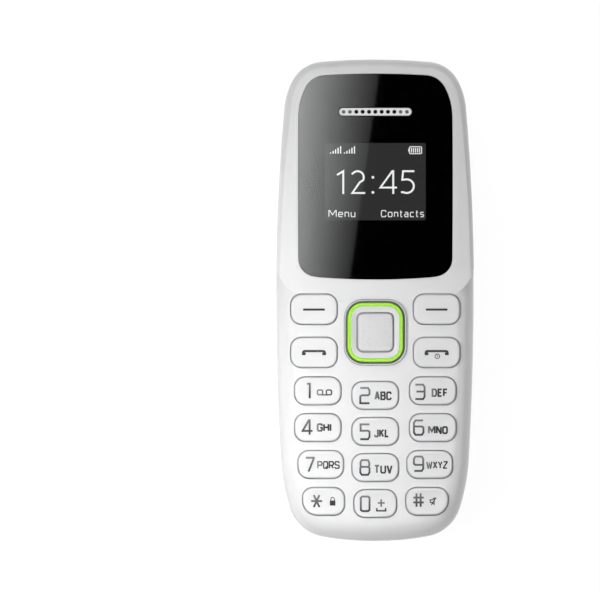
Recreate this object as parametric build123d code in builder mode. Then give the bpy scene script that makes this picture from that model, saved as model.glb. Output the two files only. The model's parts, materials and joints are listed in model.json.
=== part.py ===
from build123d import *
from math import cos, degrees, radians, sin, sqrt
import os

# A small bar phone, lying on its back. X runs to the right across the keys, Y runs up towards
# the earpiece and Z rises out of the screen. The origin is the middle of the back face.
# Sizes are in millimetres and angles in degrees.

# Overall size and outline
body_length = 67.8
body_width = 27.8
body_thickness = 12.4
widest_y = 1.5
top_turns = (5.0, 28.5, 85.0)
top_shoulder_radius = 10.0
top_corner_radius = 5.0
bottom_turns = (3.2, 17.5, 80.0)
bottom_shoulder_radius = 28.4
bottom_corner_radius = 5.9

# Shell
housing_wall = 1.2
front_wall = 1.35
cover_wall = 1.1
cover_skin = 1.0
crown_radius = 400.0
front_edge_radius = 2.8
rear_edge_radius = 4.4
cover_inner_radius = 3.4
parting_z = 6.6
parting_gap = 0.1
parting_bevel = 0.15

# Clearances
fit_gap = 0.05
seat_gap = 0.3
key_gap = 0.12
overrun = 1.0

# Display surround and lens
display_rise = 0.45
surround_reach = 3.3
surround_drop = 0.476
surround_edge_radius = 1.5
lip_width = 0.5
lens_top_margin = 2.06
lens_side_margin = 3.05
lens_length_share = 0.426
lens_gap_to_keys = 1.97
lens_thickness = 1.0
lens_sink = 0.06
lens_top_turns = (0.6, 27.7, 86.5)
lens_shoulder_radius = 9.0
lens_top_radius = 3.2
lens_bottom_turns = (0.6, 79.2, 85.5)
lens_bottom_radius = 2.5
lens_toe_radius = 10.0
shelf_width = 1.2
print_thickness = 0.1
window_gap_to_grille = 3.78
window_bottom_margin = 8.315
window_radius = 0.2

# Display module
panel_side_gap = 0.425
panel_side_border = 2.13
panel_top_border = 1.9
panel_bottom_margin = 3.0
panel_thickness = 1.2
panel_ledge = 2.6
panel_ledge_height = 0.6
holder_inset = 1.6
flex_width = 8.0
flex_thickness = 0.12
flex_tail = 3.0

# Earpiece
grille_width = 10.3
grille_height = 1.18
grille_drop = 5.34
grille_hole_diameter = 0.56
grille_hole_pitch = 0.89
grille_hole_count = 11
grille_open_count = 7
grille_blind_depth = 0.3
receiver_width = 10.0
receiver_height = 4.0
mesh_thickness = 0.15

# Keypad
keypad_margin = 2.445
keypad_bottom_margin = 3.3
column_gap = 1.33
row_gap = 0.97
key_corner_share = 0.39
outer_corner_radius = 2.2
row_lift_shares = (0.126, 0.105, 0.085, 0.062)
row_draw_in_shares = (0.0, 0.0, 0.064, 0.12)
side_width_shares = (1.0, 1.0, 0.977, 0.91)
middle_width_shares = (1.0, 1.0, 1.0, 0.918)
call_row_gap = 1.12
function_margin = 1.915
function_extra = 0.35
function_gap = 1.62
key_stand = 0.35
key_edge_radius = 0.3
key_travel = 0.25
flange_lip = 0.3
flange_thickness = 0.5
flange_gap = 0.1
keymat_thickness = 0.5
keymat_inset = 2.0
plunger_diameter = 2.0
plunger_length = 0.35
plunger_gap = 0.25
dome_diameter = 3.6
dome_height = 0.3

# Navigation key
nav_width = 8.87
nav_shortfall = 1.15
nav_gap = 0.82
nav_drop = 0.21
nav_corner_radius = 2.7
trim_width = 0.335
trim_stand = 0.3
trim_depth = 0.95
trim_edge_radius = 0.12
rocker_gap = 0.2
rocker_stand = 0.2
ring_width = 0.52
ring_height = 0.8
pad_dish = 0.3
pad_rim = 0.1
pad_thickness = 0.85
rocker_flange_lip = 0.3
rocker_flange_thickness = 0.5
rocker_rise_gap = 0.32
rocker_side_width = 1.935
rocker_end_width = 2.01
ok_corner_radius = 0.8
ok_gap = 0.16
ok_flange_lip = 0.45
ok_stand = 0.25
carrier_inset = 0.4
carrier_thickness = 0.35
carrier_hole_diameter = 3.4
nav_plunger_diameter = 1.4
nav_dome_diameter = 2.4
nav_dome_share = 0.39

# Circuit board and what is soldered to it
board_thickness = 0.8
board_inset = 2.2
component_bay = 1.65
screw_hole_gap = 0.2
can_side_margin = 3.9
can_end_room = 5.5
can_height = 1.4
can_skin = 0.2
chip_side_gap = 0.8
chip_end_gap = 2.4
chip_height = 0.9
upper_divide_x = -1.65
upper_divide_gap = 0.15
upper_part_gap = 1.2
card_side_margin = 4.0
card_end_room = 4.4
card_socket_height = 1.35
sim_side_margin = 2.05
sim_end_margin = 3.3
sim_height = 1.35
sim_gap = 1.2
socket_skin = 0.2
socket_rail = 0.5
microphone_diameter = 2.2
microphone_height = 1.1
microphone_hole_diameter = 0.8
microphone_gap = 0.45
microphone_margin = 5.1
led_length = 1.6
led_width = 0.8
led_height = 0.4
usb_width = 7.5
usb_height = 2.45
usb_depth = 5.6
usb_skin = 0.3
usb_chamfer = 0.7
usb_set_back = 0.7
port_gap = 0.25
port_radius = 0.4
tongue_width = 4.8
tongue_thickness = 0.6
tongue_reach = 3.6

# Chassis and screws
chassis_floor = 0.8
chassis_inset = 2.2
chassis_rim = 0.8
boss_diameter = 3.0
boss_rise_gap = 0.1
screw_diameter = 1.4
thread_gap = 0.03
screw_head_diameter = 2.4
screw_head_height = 0.6
screw_slot_width = 0.35
screw_slot_depth = 0.25
screw_bite = 1.8
upper_screw_margin = 4.7
upper_screw_drop = 7.3
lower_screw_margin = 4.0
lower_screw_rise = 2.4

# Battery and its contacts
battery_side_room = 4.1
battery_past_screw = 5.115
battery_bottom_margin = 9.4
battery_edge_radius = 0.6
battery_corner_radius = 1.0
battery_lift = 0.35
battery_chassis_gap = 0.25
bay_wall = 0.7
bay_depth = 1.7
terminal_width = 7.0
terminal_length = 1.5
terminal_height = 2.4
leaf_width = 1.0
leaf_pitch = 2.2
leaf_count = 3
leaf_reach = 0.35
leaf_gap = 0.25
pad_width = 1.2
pad_depth = 0.1

# Loudspeaker and the slots behind it
slot_width = 7.2
slot_height = 1.24
slot_pitch = 2.55
slot_drop = 9.83
slot_bevel = 0.12
bar_width = 6.2
bar_height = 0.95
bar_depth = 0.45
bar_sink = 0.03
bar_crown = 0.12
speaker_mesh_width = 8.8
speaker_mesh_height = 5.2
speaker_mesh_thickness = 0.15
mesh_hole_side = 0.3
mesh_hole_pitch = 0.55
speaker_side_gap = 1.75
speaker_length = 8.4
speaker_rim = 0.8
speaker_recess = 0.7
speaker_corner_radius = 1.0
cone_thickness = 0.25
cone_dome_diameter = 4.0

# Vibration motor
motor_diameter = 3.5
motor_length = 6.6
motor_side_margin = 4.9
motor_drop = 9.7
motor_rear_gap = 1.15
shaft_diameter = 0.6
shaft_bore_gap = 0.05
shaft_grip = 1.5
shaft_run = 0.4
weight_length = 3.2
weight_radius = 1.5

# Antenna
antenna_inset = 0.8
antenna_length = 5.2
antenna_thickness = 0.2
antenna_slot_width = 0.7
antenna_bridge = 1.6

# Snap tongues of the rear cover
tongue_band = 0.6
tongue_clear = 0.2
tongue_run = 5.0
tongue_rise = 1.1
tongue_root = 1.6
tongue_place_shares = (-0.3, -0.03, 0.29)

# Heights, worked out from the front face down to the board and on to the battery
front_z = body_thickness - display_rise
ceiling_z = front_z - front_wall
flange_top_z = ceiling_z - flange_gap
flange_z = flange_top_z - flange_thickness
keymat_top_z = flange_z - key_travel - seat_gap / 2
keymat_z = keymat_top_z - keymat_thickness
plunger_z = keymat_z - plunger_length
dome_top_z = plunger_z - plunger_gap
board_top_z = dome_top_z - dome_height
board_z = board_top_z - board_thickness
chassis_top_z = board_z - fit_gap
floor_top_z = board_z - component_bay
floor_z = floor_top_z - chassis_floor
battery_top_z = floor_z - battery_chassis_gap
battery_z = cover_skin + battery_lift
lens_top_z = body_thickness - lens_sink
lens_z = lens_top_z - lens_thickness
print_z = lens_z - print_thickness
panel_top_z = ceiling_z - fit_gap
panel_z = panel_top_z - panel_thickness
holder_top_z = panel_z - fit_gap
holder_z = board_top_z + seat_gap
mesh_z = print_z - fit_gap - mesh_thickness
trim_z = front_z + trim_stand - trim_depth
rocker_top_z = front_z + rocker_stand
pad_z = rocker_top_z - pad_thickness
rocker_flange_top_z = ceiling_z - rocker_rise_gap
rocker_z = rocker_flange_top_z - rocker_flange_thickness
ok_flange_top_z = pad_z - seat_gap
carrier_top_z = rocker_z - seat_gap
carrier_z = carrier_top_z - carrier_thickness
nav_plunger_z = dome_top_z + plunger_gap + plunger_gap / 2
cover_top_z = parting_z - parting_gap

# Length shared out between the lens and the keys, and the keys' places from the lower end up
half_width = body_width / 2
half_length = body_length / 2
lens_top_y = half_length - lens_top_margin
lens_length = lens_length_share * body_length
lens_bottom_y = lens_top_y - lens_length
soft_top_y = lens_bottom_y - lens_gap_to_keys
keypad_length = soft_top_y + half_length - keypad_bottom_margin
last_row = len(row_lift_shares) - 1
rows_up = last_row + row_lift_shares[0]
rows_room = keypad_length - rows_up * row_gap - call_row_gap - function_gap - 2 * function_extra
key_height = rows_room / (rows_up + 3)
key_corner_radius = key_corner_share * key_height
key_width = (body_width - 2 * keypad_margin - 2 * column_gap) / 3
column_pitch = key_width + column_gap
row_pitch = key_height + row_gap
function_height = key_height + function_extra
nav_height = 2 * function_height + function_gap - nav_shortfall
ok_width = nav_width - 2 * rocker_side_width
ok_height = nav_height - 2 * rocker_end_width
last_row_y = -half_length + keypad_bottom_margin + key_height / 2
first_row_y = last_row_y + rows_up * row_pitch
call_y = first_row_y + (key_height + function_height) / 2 + call_row_gap
soft_y = call_y + function_height + function_gap
nav_y = (soft_y + call_y) / 2 - nav_drop
function_width = half_width - function_margin - nav_width / 2 - nav_gap
function_x = half_width - function_margin - function_width / 2

# Places in the display half, worked out from the upper end of the body downwards
lens_width = body_width - 2 * lens_side_margin
lens_middle_y = (lens_top_y + lens_bottom_y) / 2
grille_y = lens_top_y - grille_drop
panel_width = lens_width - 2 * shelf_width - 2 * panel_side_gap
window_width = panel_width - 2 * panel_side_border
window_top_y = grille_y - grille_height / 2 - window_gap_to_grille
window_height = window_top_y - lens_bottom_y - window_bottom_margin
window_y = window_top_y - window_height / 2
panel_top_y = window_top_y + panel_top_border
panel_bottom_y = lens_bottom_y + panel_bottom_margin
panel_height = panel_top_y - panel_bottom_y
panel_y = (panel_top_y + panel_bottom_y) / 2

# Sizes and places of the pieces behind the board
battery_thickness = battery_top_z - battery_z
slot_y = half_length - slot_drop
upper_screw_x = half_width - upper_screw_margin
upper_screw_y = half_length - upper_screw_drop
lower_screw_x = half_width - lower_screw_margin
lower_screw_y = soft_top_y + lower_screw_rise
battery_start_y = -half_length + battery_bottom_margin
battery_end_y = lower_screw_y + battery_past_screw
battery_width = body_width - 2 * battery_side_room
battery_length = battery_end_y - battery_start_y
battery_y = (battery_start_y + battery_end_y) / 2
screw_places = [
    (side * x, y)
    for x, y in ((upper_screw_x, upper_screw_y), (lower_screw_x, lower_screw_y))
    for side in (-1, 1)
]
upper_part_y = battery_end_y + upper_part_gap
upper_part_room = upper_screw_y - upper_part_y
card_socket_width = half_width - card_side_margin - upper_divide_x - upper_divide_gap
card_socket_length = upper_part_room - card_end_room
can_width = half_width - can_side_margin + upper_divide_x - upper_divide_gap
can_length = upper_part_room - can_end_room
motor_x = motor_side_margin - half_width
motor_z = cover_skin + motor_rear_gap + motor_diameter / 2
motor_y = half_length - motor_drop - weight_length - shaft_run - motor_length
speaker_width = 2 * (abs(motor_x) - motor_diameter / 2 - speaker_side_gap)
usb_mouth_y = -half_length + usb_set_back
usb_top_z = board_z - fit_gap
usb_z = usb_top_z - usb_height / 2
speaker_z = cover_skin + speaker_mesh_thickness + seat_gap
speaker_top_z = floor_z - seat_gap
sim_width = battery_width - 2 * sim_side_margin
sim_length = (battery_length - sim_gap) / 2 - sim_end_margin
sim_pitch = sim_length + sim_gap
sim_top_z = board_z - fit_gap
leaf_z = battery_z + battery_thickness / 2
microphone_x = (usb_width + microphone_diameter) / 2 + microphone_gap


# Outlines


def quarter_arcs(width, reach, turns, radii, grow):
    """Arcs of a quarter outline, from its side round to its end: centre, radius, start, sweep.

    turns are the directions of the outward normal where one arc hands over to the next.
    radii are those of the inner arcs. The first and last radius are those that close it.
    """
    stops = [0.0] + [radians(turn) for turn in turns] + [radians(90)]
    across = [cos(b) - cos(a) for a, b in zip(stops, stops[1:])]
    along = [sin(b) - sin(a) for a, b in zip(stops, stops[1:])]
    left_x = -width - sum(r * d for r, d in zip(radii, across[1:-1]))
    left_y = reach - sum(r * d for r, d in zip(radii, along[1:-1]))
    spread = across[0] * along[-1] - across[-1] * along[0]
    side_radius = (left_x * along[-1] - across[-1] * left_y) / spread
    end_radius = (across[0] * left_y - along[0] * left_x) / spread
    arcs = []
    x, y = width, 0.0
    for radius, a, b in zip([side_radius, *radii, end_radius], stops, stops[1:]):
        centre_x, centre_y = x - radius * cos(a), y - radius * sin(a)
        arcs.append((centre_x, centre_y, radius + grow, degrees(a), degrees(b - a)))
        x, y = centre_x + radius * cos(b), centre_y + radius * sin(b)
    return arcs


def mirrored_outline(middle_y, top_arcs, bottom_arcs, mode):
    """Closed outline, the same on both sides of X = 0, in the sketch that is open."""
    with BuildLine() as outline:
        for side in (1, -1):
            for end, arcs in ((1, top_arcs), (-1, bottom_arcs)):
                for x, y, radius, start, sweep in arcs:
                    turned = start if side == 1 else 180 - start
                    centre = (side * x, middle_y + end * y)
                    CenterArc(centre, radius, end * turned, side * end * sweep)
    make_face(outline.edges(), mode=mode)


def body_outline(grow=0.0, mode=Mode.ADD):
    """The phone's outline, or a line that runs beside it."""
    top_radii = (top_shoulder_radius, top_corner_radius)
    bottom_radii = (bottom_shoulder_radius, bottom_corner_radius)
    top = quarter_arcs(half_width, half_length - widest_y, top_turns, top_radii, grow)
    bottom = quarter_arcs(half_width, half_length + widest_y, bottom_turns, bottom_radii, grow)
    mirrored_outline(widest_y, top, bottom, mode)


def lens_outline(grow=0.0, mode=Mode.ADD):
    """The lens's outline, or a line that runs beside it."""
    reach = lens_length / 2
    top_radii = (lens_shoulder_radius, lens_top_radius)
    bottom_radii = (lens_bottom_radius, lens_toe_radius)
    top = quarter_arcs(lens_width / 2, reach, lens_top_turns, top_radii, grow)
    bottom = quarter_arcs(lens_width / 2, reach, lens_bottom_turns, bottom_radii, grow)
    mirrored_outline(lens_middle_y, top, bottom, mode)


def nav_shape(shrink, radius_shrink, mode=Mode.ADD):
    """The navigation key's rounded square, drawn in by shrink on every side."""
    with Locations((0, nav_y)):
        RectangleRounded(
            nav_width - 2 * shrink,
            nav_height - 2 * shrink,
            nav_corner_radius - radius_shrink,
            mode=mode,
        )


def ok_shape(grow, mode=Mode.ADD):
    """The middle key's rounded square, let out by grow on every side."""
    with Locations((0, nav_y)):
        RectangleRounded(
            ok_width + 2 * grow, ok_height + 2 * grow, ok_corner_radius + grow, mode=mode
        )


# Blanks that several pieces are cut from


def crowned_slab(top_z):
    """Slab whose front is a shallow barrel along Y, with its apex at top_z."""
    drop = crown_radius - sqrt(crown_radius**2 - body_width**2)
    with BuildPart() as slab:
        with BuildSketch(Plane.XZ):
            with BuildLine():
                left = (-body_width, top_z - drop)
                right = (body_width, top_z - drop)
                ThreePointArc(left, (0, top_z), right)
                Polyline(right, (body_width, -overrun), (-body_width, -overrun), left)
            make_face()
        extrude(amount=body_length, both=True)
    return slab.part


def pillow(front, edge_radius):
    """The body's outer form under the front slab given, with both edges rounded."""
    with BuildPart() as form:
        with BuildSketch():
            body_outline()
        extrude(amount=body_thickness + overrun)
        add(front, mode=Mode.INTERSECT)
        fillet(form.faces().sort_by(Axis.Z)[-1].edges(), edge_radius)
        fillet(form.faces().sort_by(Axis.Z)[0].edges(), rear_edge_radius)
    return form.part


def flat_slab(top_z):
    """Flat-topped slab that covers the whole body."""
    with BuildPart() as slab:
        with BuildSketch(Plane.XY.offset(-overrun)):
            Rectangle(2 * body_width, 2 * body_length)
        extrude(amount=top_z + overrun)
    return slab.part


def surround_skirt(limit):
    """Raised display surround: a slope that rises to the flat lip round the lens."""
    foot_z = body_thickness - surround_drop
    with BuildPart() as rise:
        with BuildSketch(Plane.XY.offset(foot_z)):
            lens_outline(surround_reach)
        with BuildSketch(Plane.XY.offset(body_thickness)):
            lens_outline(lip_width)
        loft(ruled=True)
        with BuildSketch(Plane.XY.offset(parting_z)):
            lens_outline(surround_reach)
        extrude(amount=foot_z - parting_z)
        add(limit, mode=Mode.INTERSECT)
    return rise.part


def key_block(key, low_z, high_z, grow):
    """Upright block with a key's outline, let out by grow."""
    x, y, width, height, outer_side = key
    width, height = width + 2 * grow, height + 2 * grow
    radius = key_corner_radius + grow
    with BuildPart() as block:
        with BuildSketch(Plane.XY.offset(low_z)):
            with Locations((x, y)):
                RectangleRounded(width, height, radius)
            if outer_side:
                with Locations((x - outer_side * width / 2, y + height / 2)):
                    RectangleRounded(
                        2 * width, 2 * height, outer_corner_radius + grow, mode=Mode.INTERSECT
                    )
        extrude(amount=high_z - low_z)
    return block.part


def lens_slab(low_z, high_z, grow):
    """Upright slab with the lens's outline."""
    with BuildPart() as slab:
        with BuildSketch(Plane.XY.offset(low_z)):
            lens_outline(grow)
        extrude(amount=high_z - low_z)
    return slab.part


# Keys, each as X, Y, width, height and the side of a corner that is rounded more, or 0


def number_keys():
    """The twelve number keys, row by row from the top, left to right."""
    names = (
        ("key_1", "key_2", "key_3"),
        ("key_4", "key_5", "key_6"),
        ("key_7", "key_8", "key_9"),
        ("key_star", "key_0", "key_hash"),
    )
    keys = {}
    for row, row_names in enumerate(names):
        middle_y = last_row_y + (last_row - row) * row_pitch
        side_y = middle_y + row_lift_shares[row] * row_pitch
        side_x = column_pitch - row_draw_in_shares[row] * key_width
        side_width = side_width_shares[row] * key_width
        middle_width = middle_width_shares[row] * key_width
        corner = 1 if row == last_row else 0
        left, middle, right = row_names
        keys[left] = (-side_x, side_y, side_width, key_height, -corner)
        keys[middle] = (0, middle_y, middle_width, key_height, 0)
        keys[right] = (side_x, side_y, side_width, key_height, corner)
    return keys


keys = {
    "soft_key_left": (-function_x, soft_y, function_width, function_height, 0),
    "soft_key_right": (function_x, soft_y, function_width, function_height, 0),
    "call_key": (-function_x, call_y, function_width, function_height, 0),
    "end_key": (function_x, call_y, function_width, function_height, 0),
    **number_keys(),
}
nav_dome_places = [
    (0, nav_y + nav_dome_share * nav_height),
    (0, nav_y - nav_dome_share * nav_height),
    (nav_dome_share * nav_width, nav_y),
    (-nav_dome_share * nav_width, nav_y),
]


def finish(piece, name):
    """Names a finished piece and writes it."""
    piece.part.label = name
    export_step(piece.part, f"parts/{name}.step")


os.makedirs("parts", exist_ok=True)

# Front housing
low_front = pillow(crowned_slab(front_z), front_edge_radius)
high_front = pillow(flat_slab(body_thickness), surround_edge_radius)
skirt = surround_skirt(high_front)
key_holes = [key_block(key, ceiling_z - overrun, body_thickness, 0) for key in keys.values()]
lens_seat = lens_slab(print_z, body_thickness + overrun, fit_gap)
lens_opening = lens_slab(ceiling_z - overrun, body_thickness, -shelf_width)

with BuildPart() as front_housing:
    add(low_front)
    add(skirt)
    split(bisect_by=Plane.XY.offset(parting_z), keep=Keep.TOP)
    chamfer(front_housing.faces().sort_by(Axis.Z)[0].outer_wire().edges(), parting_bevel)
    with BuildSketch(Plane.XY.offset(parting_z)):
        body_outline(-housing_wall)
    extrude(amount=ceiling_z - parting_z, mode=Mode.SUBTRACT)
    with BuildSketch(Plane.XY.offset(board_top_z + boss_rise_gap)):
        with Locations(*screw_places):
            Circle(boss_diameter / 2)
        body_outline(-housing_wall / 2, mode=Mode.INTERSECT)
    extrude(amount=ceiling_z - board_top_z)
    add(key_holes, mode=Mode.SUBTRACT)
    add(lens_seat, mode=Mode.SUBTRACT)
    add(lens_opening, mode=Mode.SUBTRACT)
    with BuildSketch(Plane.XY.offset(trim_z)):
        nav_shape(0, 0)
    extrude(amount=body_thickness - trim_z, mode=Mode.SUBTRACT)
    with BuildSketch(Plane.XY.offset(ceiling_z - overrun)):
        nav_shape(trim_width, trim_width)
    extrude(amount=body_thickness - ceiling_z, mode=Mode.SUBTRACT)
    with BuildSketch(Plane.XY.offset(board_top_z - overrun)):
        with Locations(*screw_places):
            Circle(screw_diameter / 2 + thread_gap)
    extrude(amount=overrun + screw_bite + boss_rise_gap, mode=Mode.SUBTRACT)
    with BuildSketch(Plane.XZ.offset(half_length - usb_depth)):
        with Locations((0, usb_z)):
            RectangleRounded(usb_width + 2 * port_gap, usb_height + 2 * port_gap, port_radius)
    extrude(amount=usb_depth + overrun, mode=Mode.SUBTRACT)
    with BuildSketch(Plane.XZ.offset(half_length - microphone_margin)):
        with Locations((microphone_x, board_z + fit_gap)):
            Circle(microphone_hole_diameter / 2)
    extrude(amount=microphone_margin + overrun, mode=Mode.SUBTRACT)
finish(front_housing, "front_housing")

# Rear cover, with its snap tongues and the two slots of the loudspeaker
with BuildPart() as cover_hollow:
    with BuildSketch(Plane.XY.offset(cover_skin)):
        body_outline(-cover_wall)
    extrude(amount=body_thickness)
    fillet(cover_hollow.faces().sort_by(Axis.Z)[0].edges(), cover_inner_radius)

with BuildSketch() as tongue_zones:
    with Locations(*[(0, share * body_length) for share in tongue_place_shares]):
        Rectangle(body_width, tongue_run)

with BuildPart() as rear_cover:
    add(low_front)
    split(bisect_by=Plane.XY.offset(cover_top_z), keep=Keep.BOTTOM)
    chamfer(rear_cover.faces().sort_by(Axis.Z)[-1].outer_wire().edges(), parting_bevel)
    add(cover_hollow.part, mode=Mode.SUBTRACT)
    inner_band = -housing_wall - tongue_clear - tongue_band
    for outer_band, low_z, high_z in (
        (-cover_wall / 2, parting_z - tongue_root, cover_top_z),
        (-housing_wall - tongue_clear, cover_top_z, parting_z + tongue_rise),
    ):
        with BuildSketch(Plane.XY.offset(low_z)):
            body_outline(outer_band)
            body_outline(inner_band, mode=Mode.SUBTRACT)
            add(tongue_zones.sketch, mode=Mode.INTERSECT)
        extrude(amount=high_z - low_z)
    with BuildSketch(Plane.XY.offset(-overrun)):
        with Locations((0, slot_y - slot_pitch / 2), (0, slot_y + slot_pitch / 2)):
            SlotOverall(slot_width, slot_height)
    extrude(amount=cover_skin + 2 * overrun, mode=Mode.SUBTRACT)
    slot_edges = rear_cover.faces().sort_by(Axis.Z)[0].inner_wires()
    chamfer([edge for wire in slot_edges for edge in wire.edges()], slot_bevel)
    with BuildSketch():
        with Locations((0, slot_y)):
            SlotOverall(bar_width, bar_height)
    extrude(amount=bar_depth, mode=Mode.SUBTRACT)
    with BuildSketch(Plane.XZ.offset(half_length - usb_depth)):
        with Locations((0, usb_z)):
            RectangleRounded(usb_width + 2 * port_gap, usb_height + 2 * port_gap, port_radius)
    extrude(amount=usb_depth + overrun, mode=Mode.SUBTRACT)
finish(rear_cover, "rear_cover")

# Polished bar between the slots, with a slightly barrelled face
with BuildPart() as speaker_bar:
    with BuildSketch():
        with Locations((0, slot_y)):
            SlotOverall(bar_width, bar_height)
    extrude(amount=bar_depth)
    with BuildSketch(Plane.XZ.offset(-slot_y - slot_height)):
        with BuildLine():
            left = (-bar_width / 2, bar_sink + bar_crown)
            right = (bar_width / 2, bar_sink + bar_crown)
            ThreePointArc(left, (0, bar_sink), right)
            Polyline(right, (bar_width / 2, bar_depth), (-bar_width / 2, bar_depth), left)
        make_face()
    extrude(amount=2 * slot_height, mode=Mode.INTERSECT)
finish(speaker_bar, "speaker_bar")

# Woven grille behind the slots
with BuildPart() as speaker_mesh:
    with BuildSketch(Plane.XY.offset(cover_skin)):
        with Locations((0, slot_y)):
            Rectangle(speaker_mesh_width, speaker_mesh_height)
        across = int(slot_width / mesh_hole_pitch)
        with Locations((0, slot_y - slot_pitch / 2), (0, slot_y + slot_pitch / 2)):
            with GridLocations(mesh_hole_pitch, mesh_hole_pitch, across, 2):
                Rectangle(mesh_hole_side, mesh_hole_side, mode=Mode.SUBTRACT)
    extrude(amount=speaker_mesh_thickness)
finish(speaker_mesh, "speaker_mesh")

# Mid chassis: a floor with a rim, screw bosses and the battery bay's wall
with BuildPart() as mid_chassis:
    with BuildSketch(Plane.XY.offset(floor_z)):
        body_outline(-chassis_inset)
    extrude(amount=chassis_top_z - floor_z)
    with BuildSketch(Plane.XY.offset(floor_top_z)):
        body_outline(-chassis_inset - chassis_rim)
    extrude(amount=chassis_top_z - floor_top_z, mode=Mode.SUBTRACT)
    with BuildSketch(Plane.XY.offset(floor_z)):
        with Locations(*screw_places):
            Circle(boss_diameter / 2)
        body_outline(-chassis_inset, mode=Mode.INTERSECT)
    extrude(amount=chassis_top_z - floor_z)
    with BuildSketch(Plane.XY.offset(floor_z - bay_depth)):
        with Locations((0, battery_y)):
            outer = 2 * (seat_gap + bay_wall)
            inner = 2 * seat_gap
            RectangleRounded(
                battery_width + outer, battery_length + outer, battery_corner_radius + bay_wall
            )
            RectangleRounded(
                battery_width + inner,
                battery_length + inner,
                battery_corner_radius,
                mode=Mode.SUBTRACT,
            )
        with Locations((0, battery_end_y + seat_gap + bay_wall / 2)):
            Rectangle(terminal_width + 2 * seat_gap, 2 * bay_wall, mode=Mode.SUBTRACT)
        with Locations(*screw_places):
            Circle(screw_head_diameter / 2 + screw_hole_gap, mode=Mode.SUBTRACT)
    extrude(amount=bay_depth)
    with BuildSketch(Plane.XY.offset(floor_z - overrun)):
        with Locations(*screw_places):
            Circle(screw_diameter / 2 + screw_hole_gap)
    extrude(amount=chassis_top_z - floor_z + 2 * overrun, mode=Mode.SUBTRACT)
    with BuildSketch(Plane.XY.offset(floor_z)):
        with Locations(*screw_places):
            Circle(screw_head_diameter / 2 + screw_hole_gap)
    extrude(amount=screw_head_height + screw_hole_gap, mode=Mode.SUBTRACT)
    with BuildSketch(Plane.XY.offset(floor_z - overrun)):
        with Locations((0, battery_y - sim_pitch / 2), (0, battery_y + sim_pitch / 2)):
            Rectangle(sim_width - 2 * socket_rail, sim_length - 2 * socket_rail)
        socket_x = upper_divide_x + upper_divide_gap + card_socket_width / 2
        with Locations((socket_x, upper_part_y + card_socket_length / 2)):
            Rectangle(card_socket_width - 2 * socket_rail, card_socket_length - 2 * socket_rail)
    extrude(amount=chassis_floor + overrun + fit_gap, mode=Mode.SUBTRACT)
    with BuildSketch(Plane.XY.offset(floor_z - overrun)):
        with Locations((0, -half_length)):
            Rectangle(usb_width + 2 * seat_gap, 2 * (usb_set_back + usb_depth + seat_gap))
    extrude(amount=chassis_top_z - floor_z + 2 * overrun, mode=Mode.SUBTRACT)
    motor_window = motor_length + shaft_run + weight_length + 2 * seat_gap
    motor_reach = half_width - abs(motor_x) + motor_diameter / 2 + seat_gap
    window_z = floor_z - bay_depth - overrun
    with BuildSketch(Plane.XY.offset(window_z)):
        with Locations((-half_width + motor_reach / 2, motor_y + motor_window / 2 - seat_gap)):
            Rectangle(motor_reach, motor_window)
    motor_top_z = motor_z + motor_diameter / 2 + seat_gap
    extrude(amount=motor_top_z - window_z, mode=Mode.SUBTRACT)
finish(mid_chassis, "mid_chassis")

# Screws that hold the chassis and the board to the housing
with BuildPart() as chassis_screws:
    head_z = floor_z + screw_hole_gap
    with BuildSketch(Plane.XY.offset(head_z)):
        with Locations(*screw_places):
            Circle(screw_head_diameter / 2)
    extrude(amount=screw_head_height)
    with BuildSketch(Plane.XY.offset(head_z + screw_head_height)):
        with Locations(*screw_places):
            Circle(screw_diameter / 2)
    extrude(amount=board_top_z + screw_bite - head_z - screw_head_height)
    with BuildSketch(Plane.XY.offset(head_z)):
        with Locations(*screw_places):
            Rectangle(screw_head_diameter * 2 / 3, screw_slot_width)
            Rectangle(screw_slot_width, screw_head_diameter * 2 / 3)
    extrude(amount=screw_slot_depth, mode=Mode.SUBTRACT)
finish(chassis_screws, "chassis_screws")

# Circuit board
with BuildPart() as main_board:
    with BuildSketch(Plane.XY.offset(board_z)):
        body_outline(-board_inset)
        with Locations(*screw_places):
            Circle(screw_diameter / 2 + screw_hole_gap, mode=Mode.SUBTRACT)
    extrude(amount=board_thickness)
finish(main_board, "main_board")

# Shield can and the processor inside it
can_x = upper_divide_x - upper_divide_gap - can_width / 2
can_y = upper_part_y + can_length / 2
can_z = board_z - fit_gap - can_height
with BuildPart() as shield_can:
    with BuildSketch(Plane.XY.offset(can_z)):
        with Locations((can_x, can_y)):
            Rectangle(can_width, can_length)
    extrude(amount=can_height)
    with BuildSketch(Plane.XY.offset(can_z + can_skin)):
        with Locations((can_x, can_y)):
            Rectangle(can_width - 2 * can_skin, can_length - 2 * can_skin)
    extrude(amount=can_height - can_skin, mode=Mode.SUBTRACT)
finish(shield_can, "shield_can")

with BuildPart() as processor_chip:
    with BuildSketch(Plane.XY.offset(board_z - fit_gap - chip_height)):
        with Locations((can_x, can_y)):
            Rectangle(can_width - 2 * chip_side_gap, can_length - 2 * chip_end_gap)
    extrude(amount=chip_height)
finish(processor_chip, "processor_chip")


# Card sockets: a folded metal frame with a slot that the card slides into from the lower end


def card_socket(x, y, width, length, height, name):
    with BuildPart() as socket:
        with BuildSketch(Plane.XY.offset(sim_top_z - height)):
            with Locations((x, y)):
                Rectangle(width, length)
        extrude(amount=height)
        with BuildSketch(Plane.XY.offset(sim_top_z - height + socket_skin)):
            with Locations((x, y - socket_rail)):
                Rectangle(width - 2 * socket_rail, length)
        extrude(amount=height - 2 * socket_skin, mode=Mode.SUBTRACT)
        with BuildSketch(Plane.XY.offset(sim_top_z - height - overrun)):
            with Locations((x, y - length / 2)):
                Rectangle(width - 4 * socket_rail, length)
        extrude(amount=overrun + socket_skin + fit_gap, mode=Mode.SUBTRACT)
    finish(socket, name)


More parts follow.
